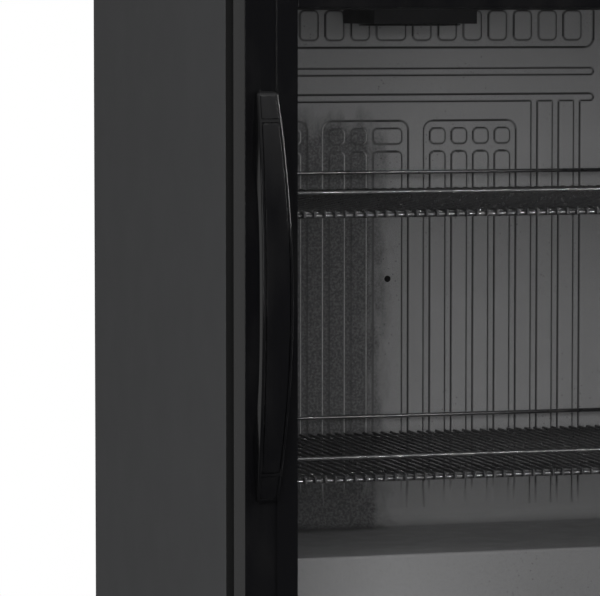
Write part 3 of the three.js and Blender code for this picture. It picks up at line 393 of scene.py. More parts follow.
# ---- Modifiers ----
def smooth_nodes(limit):
    """Geometry nodes that shade smooth, except across edges sharper than the limit."""
    group = bpy.data.node_groups.new("smooth_by_angle", "GeometryNodeTree")
    for direction in ("INPUT", "OUTPUT"):
        group.interface.new_socket("Geometry", in_out=direction, socket_type="NodeSocketGeometry")
    tree = Tree(group)
    everything = tree.node("NodeGroupInput").outputs[0]
    smooth = tree.node("GeometryNodeSetShadeSmooth", {"Geometry": everything}).outputs[0]
    angle = tree.node("GeometryNodeInputMeshEdgeAngle").outputs["Unsigned Angle"]
    sharp = tree.node("FunctionNodeCompare", {0: angle, 1: limit}, operation="GREATER_THAN").outputs[0]
    settings = {"Geometry": smooth, "Selection": sharp, "Shade Smooth": False}
    creased = tree.node("GeometryNodeSetShadeSmooth", settings, domain="EDGE").outputs[0]
    tree.node("NodeGroupOutput", {0: creased})
    return group


SMOOTH = smooth_nodes(math.radians(38))


def round_edges(piece, radius_mm):
    bevel = piece.modifiers.new("rounded", "BEVEL")
    bevel.width = radius_mm * MM
    bevel.segments = 3
    bevel.limit_method = "ANGLE"
    bevel.angle_limit = math.radians(40)
    bevel.miter_outer = "MITER_ARC"


def shade(piece):
    piece.modifiers.new("smooth", "NODES").node_group = SMOOTH
    piece.modifiers.new("weighted", "WEIGHTED_NORMAL").keep_sharp = True


# ---- Building meshes ----
def hoop(middle, radius, u, v, sides):
    """The points of a circle in the plane of two axes."""
    angles = [2 * math.pi * k / sides for k in range(sides)]
    return [middle + (u * math.cos(a) + v * math.sin(a)) * radius for a in angles]


class Shape:
    """Closed bodies of one piece, gathered from lofts, tubes, turned profiles and blocks."""

    def __init__(self):
        self.points = []
        self.faces = []

    def loft(self, rings, loop=False):
        start, count = len(self.points), len(rings[0])
        for ring in rings:
            self.points.extend(ring)
        for i in range(len(rings) if loop else len(rings) - 1):
            a = start + i * count
            b = start + ((i + 1) % len(rings)) * count
            for j in range(count):
                k = (j + 1) % count
                self.faces.append((a + j, a + k, b + k, b + j))
        if not loop:
            last = start + (len(rings) - 1) * count
            self.faces.append(tuple(reversed(range(start, start + count))))
            self.faces.append(tuple(range(last, last + count)))

    def tube(self, path, radius, sides=8, loop=False):
        path = [Vector(p) for p in path]
        rings = []
        across = None
        for i, point in enumerate(path):
            before = path[i - 1] if i or loop else point
            after = path[(i + 1) % len(path)] if loop or i + 1 < len(path) else point
            along = (after - before).normalized()
            if across is None:
                across = along.orthogonal().normalized()
            across = (across - along * across.dot(along)).normalized()
            rings.append(hoop(point, radius, across, along.cross(across), sides))
        self.loft(rings, loop)

    def turned(self, profile, centre, along=(0, 0, 1), sides=32, stretch=1.0):
        """A profile of (radius, height) turned about an axis at right angles to X."""
        axis, side, middle = Vector(along), Vector((1, 0, 0)), Vector(centre)
        self.loft([hoop(middle + axis * height, radius, side * stretch, axis.cross(side), sides)
                   for radius, height in profile])

    def block(self, low, high):
        lower = [(low[0], low[1]), (high[0], low[1]), (high[0], high[1]), (low[0], high[1])]
        self.loft([[Vector((x, y, z)) for x, y in lower] for z in (low[2], high[2])])

    def mesh(self, name):
        mesh = bpy.data.meshes.new(name)
        mesh.from_pydata(self.points, [], self.faces)
        work = bmesh.new()
        work.from_mesh(mesh)
        bmesh.ops.recalc_face_normals(work, faces=work.faces)
        work.to_mesh(mesh)
        work.free()
        return mesh

    def piece(self, name, body, slot, replaces=(), radius_mm=0.0):
        made = place(name, self.mesh(name), body, slot, replaces)
        if radius_mm:
            round_edges(made, radius_mm)
        shade(made)
        return made


def place(name, mesh, body, slot, replaces=()):
    piece = bpy.data.objects.new(name, mesh)
    bpy.context.scene.collection.objects.link(piece)
    mesh.materials.append(materials[slot])
    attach(piece, body)
    if replaces:
        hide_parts(*replaces)
    return piece


def bent(corners, radius, steps=5):
    """A path through corners, each one rounded to a bend."""
    corners = [Vector(c) for c in corners]
    path = [corners[0]]
    for i in range(1, len(corners) - 1):
        here = corners[i]
        into = here + (corners[i - 1] - here).normalized() * radius
        out = here + (corners[i + 1] - here).normalized() * radius
        for k in range(steps + 1):
            t = k / steps
            path.append(into * (1 - t) ** 2 + here * 2 * t * (1 - t) + out * t ** 2)
    path.append(corners[-1])
    return path


def arc(centre, radius, start, end, steps):
    """Points of a circle's arc in two dimensions."""
    angles = [start + (end - start) * k / steps for k in range(steps + 1)]
    return [(centre[0] + radius * math.cos(a), centre[1] + radius * math.sin(a)) for a in angles]


def in_mm(*profile):
    """A profile written as (radius, height) in millimetres."""
    return [(radius * MM, height * MM) for radius, height in profile]


# ---- CAD nodes that keep their own shape ----
ROUNDED_BY_MM = {
    0.3: "lock_keeper rear_panel",
    0.4: "outer_glass inner_glass glass_spacer base_pan display_lens lock_barrel machine_room_panel",
    0.5: "left_side_panel right_side_panel drip_tray lamp_switch_rocker hinge_bush_top hinge_bush_bottom",
    0.8: "plinth_grille top_hinge_plate bottom_hinge_bracket compressor_rail lamp_cover controller_housing "
         "lamp_switch_bezel button_set button_up button_down cord_grip filter_drier",
    1.2: "worktop door_rail_top door_rail_bottom",
    1.5: "door_inner_frame fan_housing temperature_probe",
    1.6: "door_stile_left door_stile_right",
    2.0: "compressor_relay_box",
}
EDGE_RADIUS_MM = {node: radius for radius, nodes in ROUNDED_BY_MM.items() for node in nodes.split()}

# Merging the flat faces of these would lose the openings in them.
PIERCED = ("plinth_grille", "controller_housing", "fan_housing", "lamp_switch_bezel")


def finish_cad_nodes():
    for part in frame["record"]["subparts"]:
        name = part["node"]
        node = frame["nodes"][name]
        node.data.materials.clear()
        node.data.materials.append(materials[part["material_slot"]])
        node.modifiers.new("weld", "WELD").merge_threshold = 0.01 * MM
        if name not in PIERCED:
            flat = node.modifiers.new("flat", "DECIMATE")
            flat.decimate_type = "DISSOLVE"
            flat.angle_limit = math.radians(1)
        if name in EDGE_RADIUS_MM:
            round_edges(node, EDGE_RADIUS_MM[name])
        shade(node)


# ---- Liner ----
# The pressed pattern of the back wall: millimetres across from the middle, and up from the ground.
PITCH, GROOVE, MIDDLE_HALF = 24.0, 7.0, 16.0
STRIP = PITCH - GROOVE
RAMP = 2.5
PANELS = ((-7, -4), (-2, 0), (2, 5))  # first and last strip of each panel
SIDE_GROOVES = (7, 8, 9, -9)  # strips beyond the panels that have a groove on their near side
PANEL_TOP, PANEL_RADIUS = 643.3, 10.0
ROW, CELL_RADIUS = (618.9, 635.3), 5.0
LONG_TOP = 611.0
BANDS = ((663.5, 670.9), (691.1, 698.4))
TOP_FIELD = (720.3, 767.0)
TOP_CELLS, CELL_MIDDLE = (728.0, 759.0), 4.0
CELL_WIDE, CELL_NARROW, CELL_GAP = 32.0, 20.0, 8.0
RELIEF_DEPTH = 2.2 * MM
GRID_STEP, COARSE_STEP = 1.2, 12.0
GRID_MARGIN = 4 * MM


def strip_span(k):
    """The k-th narrow strip from the middle; a negative k is on the left, and 0 is the wide one."""
    if k == 0:
        return -MIDDLE_HALF, MIDDLE_HALF
    near = MIDDLE_HALF + GROOVE + PITCH * (abs(k) - 1)
    return (near, near + STRIP) if k > 0 else (-near - STRIP, -near)


def top_cell_spans(half_width):
    """A wide cell near the middle with a row of narrow ones on both sides of it."""
    half = CELL_WIDE / 2
    spans = [(CELL_MIDDLE - half, CELL_MIDDLE + half)]
    step = CELL_NARROW + CELL_GAP
    for j in range(int((half_width - half) / step)):
        near = half + CELL_GAP + j * step
        spans.append((CELL_MIDDLE + near, CELL_MIDDLE + near + CELL_NARROW))
        spans.append((CELL_MIDDLE - near - CELL_NARROW, CELL_MIDDLE - near))
    return [span for span in spans if max(map(abs, span)) < half_width - CELL_GAP]


def pressed_pattern(half_width, bottom):
    """Rounded rectangles that are pressed in, and those inside them that stay proud."""
    pressed, proud = [], []
    for first, last in PANELS:
        span = (strip_span(first)[0] - GROOVE, strip_span(last)[1] + GROOVE)
        pressed.append((span, (bottom, PANEL_TOP), PANEL_RADIUS))
        for k in range(first, last + 1):
            proud.append((strip_span(k), ROW, CELL_RADIUS))
            proud.append((strip_span(k), (bottom + GROOVE, LONG_TOP), CELL_RADIUS))
    for k in SIDE_GROOVES:
        start = strip_span(k)[0] - GROOVE if k > 0 else strip_span(k)[1]
        pressed.append(((start, start + GROOVE), (bottom, BANDS[0][0] + GROOVE / 2), GROOVE / 2))
    for band in BANDS:
        pressed.append(((-half_width, half_width), band, GROOVE / 2))
    pressed.append(((-half_width, half_width), TOP_FIELD, PANEL_RADIUS))
    proud.extend((span, TOP_CELLS, CELL_RADIUS) for span in top_cell_spans(half_width))
    return pressed, proud


def covers(x, z, rectangle):
    """1 inside a rounded rectangle and 0 outside it, with a short ramp between."""
    (x0, x1), (z0, z1), radius = rectangle
    over_x = np.abs(x - (x0 + x1) / 2) - (x1 - x0) / 2 + radius
    over_z = np.abs(z - (z0 + z1) / 2) - (z1 - z0) / 2 + radius
    corner = np.hypot(np.maximum(over_x, 0), np.maximum(over_z, 0))
    distance = corner + np.minimum(np.maximum(over_x, over_z), 0) - radius
    t = np.clip(0.5 - distance / RAMP, 0, 1)
    return t * t * (3 - 2 * t)


def relief(x, z, half_width, bottom):
    """How far each point of the back wall is pressed in, from 0 to 1."""
    pressed, proud = pressed_pattern(half_width, bottom)
    fields = np.max([covers(x, z, rectangle) for rectangle in pressed], axis=0)
    cells = np.max([covers(x, z, rectangle) for rectangle in proud], axis=0)
    return fields * (1 - cells)


def back_wall_rows(low, high):
    """Heights of the grid's rows: fine where the pattern turns corners, coarse where it runs straight."""
    fine_from = LONG_TOP - COARSE_STEP
    coarse = np.arange(low, fine_from, COARSE_STEP)
    return np.concatenate([[low], coarse[1:], np.arange(fine_from, high, GRID_STEP), [high]])


def add_back_wall(work):
    """The pressed pattern as a fine grid in the wall's plane; returns the edges round it."""
    half = liner.side - FILLET - GRID_MARGIN
    low = liner.hump_top + FILLET + GRID_MARGIN
    high = liner.ceiling - FILLET - GRID_MARGIN
    columns = round(2 * half / (GRID_STEP * MM))
    x = np.linspace(-half, half, columns + 1) / MM
    z = back_wall_rows(low / MM, high / MM)
    grid_x, grid_z = np.meshgrid(x, z)
    inset = relief(grid_x, grid_z, half / MM - GROOVE, low / MM + GROOVE)
    depth = liner.back + RELIEF_DEPTH * inset
    rows = [[work.verts.new((px * MM, py, pz * MM)) for px, py, pz in zip(*row)]
            for row in zip(grid_x, depth, grid_z)]
    faces = [
        work.faces.new((a[i], a[i + 1], b[i + 1], b[i]))
        for a, b in zip(rows, rows[1:]) for i in range(len(a) - 1)]
    return [edge for face in faces for edge in face.edges if len(edge.link_faces) == 1]


def is_on_back_wall(face):
    return all(abs(vert.co.y - liner.back) < 1e-6 for vert in face.verts)


FILLET_STEPS = 6
SHARPEST = 0.2 * MM  # the radius that is left of a fillet where it meets a side wall


def room_outline(inset):
    """The room's side view drawn in by an inset, from the floor's front end round to the ceiling's."""
    fillet = max(FILLET - inset, SHARPEST)
    reach = FILLET
    hump_edge = (HUMP_FRONT + HUMP_EDGE, liner.hump_top - HUMP_EDGE)
    return [
        (liner.front, liner.floor + inset),
        *arc((HUMP_FRONT - reach, liner.floor + reach), fillet, -QUARTER, 0, FILLET_STEPS),
        *arc(hump_edge, HUMP_EDGE + inset, math.pi, QUARTER, FILLET_STEPS),
        *arc((liner.back - reach, liner.hump_top + reach), fillet, -QUARTER, 0, FILLET_STEPS),
        *arc((liner.back - reach, liner.ceiling - reach), fillet, 0, QUARTER, FILLET_STEPS),
        (liner.front, liner.ceiling - inset)]


def add_room(work):
    """The room's walls: outlines across the width, drawn in more and more towards each side wall."""
    turns = [QUARTER * k / FILLET_STEPS for k in range(FILLET_STEPS + 1)]
    steps = [(liner.side - FILLET * (1 - math.sin(a)), FILLET * (1 - math.cos(a))) for a in turns]
    places = [(-x, inset) for x, inset in reversed(steps)] + steps
    rings = [[work.verts.new((x, y, z)) for y, z in room_outline(inset)] for x, inset in places]
    work.faces.new(rings[0])
    work.faces.new(list(reversed(rings[-1])))
    for a, b in zip(rings, rings[1:]):
        for i in range(len(a) - 1):
            work.faces.new((a[i], b[i], b[i + 1], a[i + 1]))


def liner_shell():
    """The compartment as one formed sheet: rounded room, patterned back wall and front flange."""
    work = bmesh.new()
    add_room(work)

    back = max(filter(is_on_back_wall, work.faces), key=lambda f: f.calc_area())
    rim = list(back.edges)
    bmesh.ops.delete(work, geom=[back], context="FACES_ONLY")
    bmesh.ops.triangle_fill(work, use_beauty=True, edges=rim + add_back_wall(work))

    mouth = [e for e in work.edges if len(e.link_faces) == 1]
    low, high = flange_low, flange_high
    corners = [work.verts.new((x, liner.front, z)) for x, z in (
        (low.x, low.z), (high.x, low.z), (high.x, high.z), (low.x, high.z))]
    outer = [work.edges.new((corners[i], corners[(i + 1) % 4])) for i in range(4)]
    bmesh.ops.triangle_fill(work, use_beauty=True, edges=mouth + outer)
    bmesh.ops.bevel(work, geom=mouth, offset=MOUTH_FILLET, segments=4, affect="EDGES", profile=0.5)

    bmesh.ops.recalc_face_normals(work, faces=work.faces)
    if next(filter(is_on_back_wall, work.faces)).normal.y > 0:
        bmesh.ops.reverse_faces(work, faces=work.faces)
    mesh = bpy.data.meshes.new("liner_shell")
    work.to_mesh(mesh)
    work.free()
    shell = place("liner_shell", mesh, "cabinet", "liner_plastic", ["inner_liner"])
    thickness = shell.modifiers.new("sheet", "SOLIDIFY")
    thickness.thickness = LINER_SHEET
    thickness.offset = -1
    shade(shell)


LEDGE_REACH, LEDGE_SUNK, LEDGE_HEIGHT = 9 * MM, 0.5 * MM, 8 * MM
LEDGE_FROM_FRONT, LEDGE_FROM_BACK, LEDGE_CLEARANCE = 14 * MM, 6 * MM, 0.3 * MM
PLUG_BELOW_SHELF = 89 * MM


def liner_ledges():
    """A moulded rest on each side wall, just under each shelf."""
    rests = Shape()
    front, back = liner.front + LEDGE_FROM_FRONT, liner.back - LEDGE_FROM_BACK
    for shelf in ("shelf_upper", "shelf_lower"):
        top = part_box(shelf)[0].z - LEDGE_CLEARANCE
        for side in (-1, 1):
            x = sorted((side * (liner.side + LEDGE_SUNK), side * (liner.side - LEDGE_REACH)))
            rests.block((x[0], front, top - LEDGE_HEIGHT), (x[1], back, top))
    rests.piece("liner_ledges", "cabinet", "liner_plastic", radius_mm=2.4)


def liner_plug():
    """A small rubber plug in the middle of the back wall."""
    plug = Shape()
    centre = (0, liner.back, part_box("shelf_upper")[0].z - PLUG_BELOW_SHELF)
    plug.turned(in_mm((3.4, -1), (3.4, 0.3), (2.9, 0.9), (1.6, 1.2), (0.2, 1.3)), centre, (0, -1, 0), 20)
    plug.piece("liner_plug", "cabinet", "seal_rubber")


# ---- Shelves ----
def shelf_wires(shelf, low, high):
    """Wires side by side, each bent down over the front rod."""
    wire, pitch, below_rail, bend, tail = 1.5 * MM, 10 * MM, 18 * MM, 3.2 * MM, 1 * MM
    top, front = high.z - below_rail - wire, low.y + wire
    count = round((high.x - low.x) / pitch) - 1
    for i in range(count):
        x = low.x + (i + 1) * pitch
        corners = [(x, high.y - wire, top), (x, front, top), (x, front, low.z + tail)]
        shelf.tube(bent(corners, bend, 4), wire)


def shelf_frame(shelf, low, high):
    """Cross rods, side rods and the two raised rails with their posts."""
    rod, rail, stiffener = 2.5 * MM, 1.9 * MM, 60 * MM
    inset = rod + 3.4 * MM
    level, rail_level = low.z + rod, high.z - rail
    front, middle, back = low.y + inset, high.y - (high.y - low.y) / 2, high.y - inset
    for y in (back, middle, low.y + stiffener, front):
        shelf.tube([(low.x + rod, y, level), (high.x - rod, y, level)], rod, 12)
    for x in (low.x + rod, high.x - rod):
        shelf.tube([(x, front, level), (x, back, level)], rod, 12)
    left, right = low.x + rail, high.x - rail
    for y in (front, high.y - rail):
        corners = [(left, y, level), (left, y, rail_level), (right, y, rail_level), (right, y, level)]
        shelf.tube(bent(corners, 7 * MM), rail, 12)


def wire_shelf(node, body):
    low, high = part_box(node)
    shelf = Shape()
    shelf_wires(shelf, low, high)
    shelf_frame(shelf, low, high)
    return shelf.piece(node + "_wires", body, "wire_coat", [node])


# ---- Handle ----
END_STAND, BOW_RISE = 9 * MM, 36 * MM
END_HALF, SWELL = 10 * MM, 4.5 * MM
OPEN_HALF, OPEN_DEPTH = 124 * MM, 32 * MM
INLAY_RECESS = 2.2 * MM
INLAY_GAP, COVER_GAP = 1.1 * MM, 0.5 * MM  # open seams round the inlay and round each end cover
LIP = 2.6 * MM  # from the side of the bow to the recess
CROWN_ROOM = 0.2 * MM  # taken off the bow's front, for the crown of the inlay
GRIP_ROUND, INLAY_ROUND, COVER_ROUND = 4 * MM, 2 * MM, 1 * MM  # radii of their ends, seen from the front
CAP_TOP, CAP_BOTTOM, INLAY_TOP = 4 * MM, 25 * MM, 28 * MM  # distances from the end of the bow


class Bow:
    """The handle's side view and front view as functions of height."""

    def __init__(self):
        low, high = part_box("handle_grip")
        self.x = (low.x + high.x) / 2
        self.z = (low.z + high.z) / 2
        self.half = (high.z - low.z) / 2
        self.face = high.y

    def bulge(self, z):
        return 1 - ((z - self.z) / self.half) ** 2

    def stand(self, z):
        """How far the front of the bow stands from the door."""
        return END_STAND + BOW_RISE * self.bulge(z) - CROWN_ROOM

    def half_width(self, z):
        return END_HALF + SWELL * self.bulge(z)

    def gap(self, z):
        """How far the back of the bow stands from the door."""
        share = min(abs(z - self.z) / OPEN_HALF, 1)
        return OPEN_DEPTH * (1 - share ** 2.4) ** 0.62

    def from_end(self, z):
        return self.half - abs(z - self.z)

    def ring(self, half_profile, z):
        """A closed section, mirrored from points of (across, distance from the door)."""
        other = [(-x, d) for x, d in reversed(half_profile) if x > 1e-7]
        return [Vector((self.x + x, self.face - d, z)) for x, d in half_profile + other]

    def heights(self, start, end, count, ends_radius):
        """Evenly spaced heights, with extra ones where the ends and the opening turn quickly."""
        close = [ends_radius * (1 - math.cos(QUARTER * k / 5)) for k in range(6)]
        marks = [start + c for c in close] + [end - c for c in close]
        marks += [start + (end - start) * k / count for k in range(1, count)]
        for side in (-1, 1):
            for k in range(1, 9):
                marks.append(self.z + side * OPEN_HALF * (1 - 0.002 * k ** 2))
            marks.append(self.z + side * OPEN_HALF)
            for edge in (CAP_TOP, CAP_BOTTOM, INLAY_TOP):
                marks += [self.z + side * (self.half - edge + step * MM) for step in (-0.2, 0.2)]
        return sorted({round(m, 6) for m in marks if start - 1e-6 <= m <= end + 1e-6})


def end_taper(distance, radius):
    """How much narrower a rounded end is at this distance from its tip."""
    if distance >= radius:
        return 0.0
    return radius - math.sqrt(max(radius ** 2 - (radius - distance) ** 2, 0))


def grip_profile(bow, z):
    """Half of the bow's section, from the middle of its back round to the middle of its front."""
    taper = end_taper(bow.from_end(z), GRIP_ROUND)
    half = bow.half_width(z) - taper
    back = bow.gap(z)
    front = bow.stand(z) - taper
    soft = 2.2 * MM
    recessed = CAP_TOP < bow.from_end(z) < CAP_BOTTOM or bow.from_end(z) > INLAY_TOP
    floor = front - INLAY_RECESS if recessed else front
    points = [(0, back)]
    points += arc((half - soft, back + soft), soft, -QUARTER, 0, 4)
    points += arc((half - soft, front - soft), soft, 0, QUARTER, 5)
    points += [(half - LIP, front), (half - LIP - 0.3 * MM, floor), (0, floor)]
    return points


def strip_profile(bow, z, near, far, margin, end_radius):
    """Half of the section of a strip that lies in the bow's recess."""
    taper = end_taper(min(z - near, far - z), end_radius)
    half = bow.half_width(z) - margin - taper
    front = bow.stand(z)
    back = front - INLAY_RECESS
    soft = 0.45 * MM
    crown = 0.35 * MM
    return [(0, back), (half, back)] + arc((half - soft, front - soft), soft, 0, QUARTER, 3) + [
        (half / 2, front + crown * 0.75), (0, front + crown)]


def strip_rings(bow, near, far, gap, end_radius, count):
    """A strip with a seam of this gap between it and the recess."""
    near, far = near + gap, far - gap
    heights = bow.heights(near, far, count, end_radius)
    return [bow.ring(strip_profile(bow, z, near, far, LIP + gap, end_radius), z) for z in heights]


def handle():
    bow = Bow()
    bottom, top = bow.z - bow.half, bow.z + bow.half
    grip = Shape()
    grip.loft([bow.ring(grip_profile(bow, z), z) for z in bow.heights(bottom, top, 60, GRIP_ROUND)])
    grip.loft(strip_rings(bow, bottom + INLAY_TOP, top - INLAY_TOP, INLAY_GAP, INLAY_ROUND, 50))
    grip.piece("handle_bow", "door", "door_gloss", ["handle_grip"])
    for end, near, far in (
            ("upper", top - CAP_BOTTOM, top - CAP_TOP), ("lower", bottom + CAP_TOP, bottom + CAP_BOTTOM)):
        cover = Shape()
        cover.loft(strip_rings(bow, near, far, COVER_GAP, COVER_ROUND, 10))
        cover.piece("handle_cover_" + end, "door", "door_gloss", ["handle_cap_" + end])


# ---- Door gasket ----
# One side of the seal in shares of its width and depth: root, two folds and the magnet cushion.
SEAL_SECTION = (
    (0.18, 0.00), (0.10, 0.16), (0.24, 0.28), (0.08, 0.42), (0.02, 0.60), (0.00, 0.72), (0.00, 0.92),
    (0.08, 1.00), (0.92, 1.00), (1.00, 0.92), (1.00, 0.70), (0.78, 0.60), (0.94, 0.44), (0.74, 0.30),
    (0.90, 0.16), (0.82, 0.00))
SEAL_WIDTH = 14 * MM


def door_seal():
    low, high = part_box("door_gasket")
    rings = []
    for x, inward_x, z, inward_z in (
            (low.x, 1, low.z, 1), (high.x, -1, low.z, 1), (high.x, -1, high.z, -1), (low.x, 1, high.z, -1)):
        section = [(u * SEAL_WIDTH, low.y + v * (high.y - low.y)) for u, v in SEAL_SECTION]
        rings.append([Vector((x + inward_x * inset, y, z + inward_z * inset)) for inset, y in section])
    seal = Shape()
    seal.loft(rings, loop=True)
    seal.piece("door_seal", "door", "seal_rubber", ["door_gasket"], radius_mm=0.5)


# ---- Cooling parts ----
def middle_of(node):
    low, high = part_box(node)
    return (low + high) / 2


def condenser():
    """One serpentine tube with a close row of wires welded across both sides of it."""
    low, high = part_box("condenser_coil")
    tube, overhang, runs = 2.5 * MM, 8 * MM, 12
    wire, wire_pitch, margin = 0.8 * MM, 11.5 * MM, 18 * MM
    y = (low.y + high.y) / 2
    pitch = (high.z - low.z - 2 * overhang) / (runs - 1)
    half = high.x - tube
    corners = []
    for i in range(runs):
        ends = (-half, half) if i % 2 == 0 else (half, -half)
        corners += [(x, y, low.z + overhang + i * pitch) for x in ends]
    coil = Shape()
    coil.tube(bent(corners, pitch * 0.45, 6), tube, 12)
    for across in (y - tube, y + tube):
        for x in np.arange(-half + margin, half - margin + 1 * MM, wire_pitch):
            coil.tube([(x, across, low.z), (x, across, high.z)], wire, 6)
    coil.piece("condenser_tube_and_wires", "cabinet", "machine_black", ["condenser_coil"])
    spacers = Shape()
    far, wide, tall = 190 * MM, 7 * MM, 9 * MM
    panel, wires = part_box("rear_panel")[1].y, y - tube - wire
    for x in (-far, far):
        for z in (low.z + 1.5 * pitch, high.z - 1.5 * pitch):
            spacers.block((x - wide, panel, z - tall), (x + wide, wires, z + tall))
    spacers.piece("condenser_spacers", "cabinet", "black_moulding", radius_mm=1.5)


# The compressor's upright section, in shares of its radius and height.
POT_ROUNDNESS, POT_WIDEST, DOME_RISE = 0.8, 0.96, 0.26
POT_SEAM = [(0.965, 0.52), (1.0, 0.53), (1.0, 0.56), (0.965, 0.57)]


def compressor():
    """A welded pot with a lip round its seam, and a sealed copper charging stub."""
    low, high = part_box("compressor_shell")
    middle = middle_of("compressor_shell")
    radius, height = (high.y - low.y) / 2, high.z - low.z
    turns = np.linspace(0.03, QUARTER, 9)
    dome = [(math.sin(a) ** POT_ROUNDNESS * POT_WIDEST, DOME_RISE * (1 - math.cos(a))) for a in turns]
    section = dome + POT_SEAM + [(r, 1 - h) for r, h in reversed(dome)]
    profile = [(r * radius, h * height) for r, h in section]
    pot = Shape()
    stretch = (high.x - low.x) / (high.y - low.y)
    pot.turned(profile, (middle.x, middle.y, low.z), sides=56, stretch=stretch)
    pot.piece("compressor_pot", "cabinet", "machine_black", ["compressor_shell"])
    stub = Shape()
    x, y, z = low.x + 22 * MM, middle.y + 0.6 * radius, low.z + 0.72 * height
    corners = [(x + 8 * MM, y - 12 * MM, z), (x, y + 14 * MM, z), (x, y + 18 * MM, z + 20 * MM)]
    stub.tube(bent(corners, 6 * MM), 2.6 * MM, 12)
    stub.piece("charging_stub", "cabinet", "copper_pipe")


BLADE_SHARES = (0.0, 0.25, 0.5, 0.75, 0.92, 1.0)  # of the way from the hub to the tip
BLADE_SECTION = ((-0.5, 0), (-0.2, 0.09), (0.2, 0.09), (0.5, 0), (0.2, 0.02), (-0.2, 0.02))
BLADE_SINK = 0.05  # of the chord
ROOT_TWIST, TWIST_LOST = 38, 18  # degrees


def blade_rings(hub, tip, chord):
    """Sections of one blade along +X, flatter and wider towards its tip."""
    rings = []
    for share in BLADE_SHARES:
        twist = Matrix.Rotation(math.radians(ROOT_TWIST - TWIST_LOST * share), 2)
        reach = hub + (tip - hub) * share
        wide = chord * (0.8 + 0.35 * share) * (0.82 if share == 1.0 else 1.0)
        ring = [twist @ Vector((u * wide, (v - BLADE_SINK) * wide)) for u, v in BLADE_SECTION]
        rings.append([Vector((reach, *point)) for point in ring])
    return rings


def fan():
    low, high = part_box("fan_blades")
    centre = middle_of("fan_blades")
    half, hub, blades, chord = (high.z - low.z) / 2 / MM, 15, 7, 20 * MM
    rotor = Shape()
    rotor.turned(in_mm(
        (0.2, -half), (hub - 4, -half), (hub - 1, -half + 1.5), (hub, -half + 4), (hub, half),
        (0.2, half)), centre)
    blade = blade_rings((hub - 1) * MM, (high.x - low.x) / 2 - 0.5 * MM, chord)
    for i in range(blades):
        turn = Matrix.Rotation(2 * math.pi * i / blades, 3, "Z")
        rotor.loft([[centre + turn @ point for point in ring] for ring in blade])
    rotor.piece("fan_rotor_blades", "fan_rotor", "black_moulding", ["fan_blades"])


def fan_grille():
    """Concentric wires on three cross wires."""
    low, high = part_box("fan_guard")
    centre = middle_of("fan_guard")
    wire, eye, reach = 0.9 * MM, 12 * MM, (high.x - low.x) / 2 - 1 * MM
    grille = Shape()
    for radius in np.linspace(eye, reach, 6):
        middle = Vector((centre.x, centre.y, low.z + wire))
        grille.tube(hoop(middle, radius, Vector((1, 0, 0)), Vector((0, 1, 0)), 48), wire, loop=True)
    middle = Vector((centre.x, centre.y, high.z - wire))
    for i in range(3):
        across = Vector((math.cos(i * math.pi / 3), math.sin(i * math.pi / 3), 0)) * reach
        grille.tube([middle - across, middle + across], wire)
    grille.piece("fan_grille", "cabinet", "wire_coat", ["fan_guard"])


# ---- Cord, feet and fasteners ----
def cord():
    """The cord coiled for carrying and tied once."""
    low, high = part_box("power_cord")
    centre = middle_of("power_cord")
    thick, turns, steps, wobble = 3 * MM, 3, 28, 0.06
    radius = (high.x - low.x) / 2 - thick
    near, far = high.y - thick, low.y + thick
    path = []
    for i in range(turns * steps + 1):
        angle = 2 * math.pi * i / steps
        share = i / (turns * steps)
        reach = radius * (1 - wobble * math.sin(angle / 3) ** 2)
        x, z = centre.x + reach * math.cos(angle), centre.z + reach * math.sin(angle)
        path.append((x, near + (far - near) * share, z))
    coil = Shape()
    coil.tube(path, thick, 12)
    coil.piece("cord_coil", "cabinet", "seal_rubber", ["power_cord"])
    tie = Shape()
    middle = Vector((centre.x, (near + far) / 2, centre.z + radius))
    tie.tube(hoop(middle, 12 * MM, Vector((0, 1, 0)), Vector((0, 0, 1)), 24), 1.1 * MM, loop=True)
    tie.piece("cord_tie", "cabinet", "black_moulding")


PAD_TOP, NUT_TOP, STUD_START = 13, 21.4, 12.5  # millimetres above the ground
THREAD_PITCH = 1.25


def foot(corner):
    """A broad pad, a hexagonal nut and a threaded stud."""
    low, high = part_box("foot_" + corner)
    centre = ((low.x + high.x) / 2, (low.y + high.y) / 2, low.z)
    pad, top = (high.x - low.x) / 2 / MM, (high.z - low.z) / MM
    made = Shape()
    made.turned(in_mm(
        (0.2, 0), (pad - 2, 0), (pad - 0.5, 0.6), (pad, 2), (pad, 8), (pad - 1, 9), (11, 11), (9, PAD_TOP),
        (0.2, PAD_TOP)), centre, sides=40)
    made.turned(in_mm(
        (0.2, PAD_TOP), (8.4, PAD_TOP), (9, PAD_TOP + 0.8), (9, NUT_TOP - 0.8), (8.4, NUT_TOP),
        (0.2, NUT_TOP)), centre, sides=6)
    made.piece("foot_pad_" + corner, corner + "_foot", "black_moulding", ["foot_" + corner])
    thread = []
    for z in np.arange(STUD_START, top - 1.3, THREAD_PITCH):
        thread += [(4.3, z), (4.9, z + 0.6)]
    stud = Shape()
    stud.turned(in_mm((0.2, STUD_START), *thread, (4.2, top - 0.4), (0.2, top)), centre, sides=24)
    stud.piece("foot_stud_" + corner, corner + "_foot", "hinge_steel")


SCREW_HEAD = in_mm(
    (0.2, 0), (3.6, 0), (3.6, 0.5), (3.2, 1.3), (2.3, 1.8), (1.3, 1.9), (1.2, 0.8), (0.2, 0.8))


def screws(name, centres, along):
    """Pan heads with round sockets."""
    heads = Shape()
    for centre in centres:
        heads.turned(SCREW_HEAD, centre, along, 24)
    heads.piece(name, "cabinet", "hinge_steel")


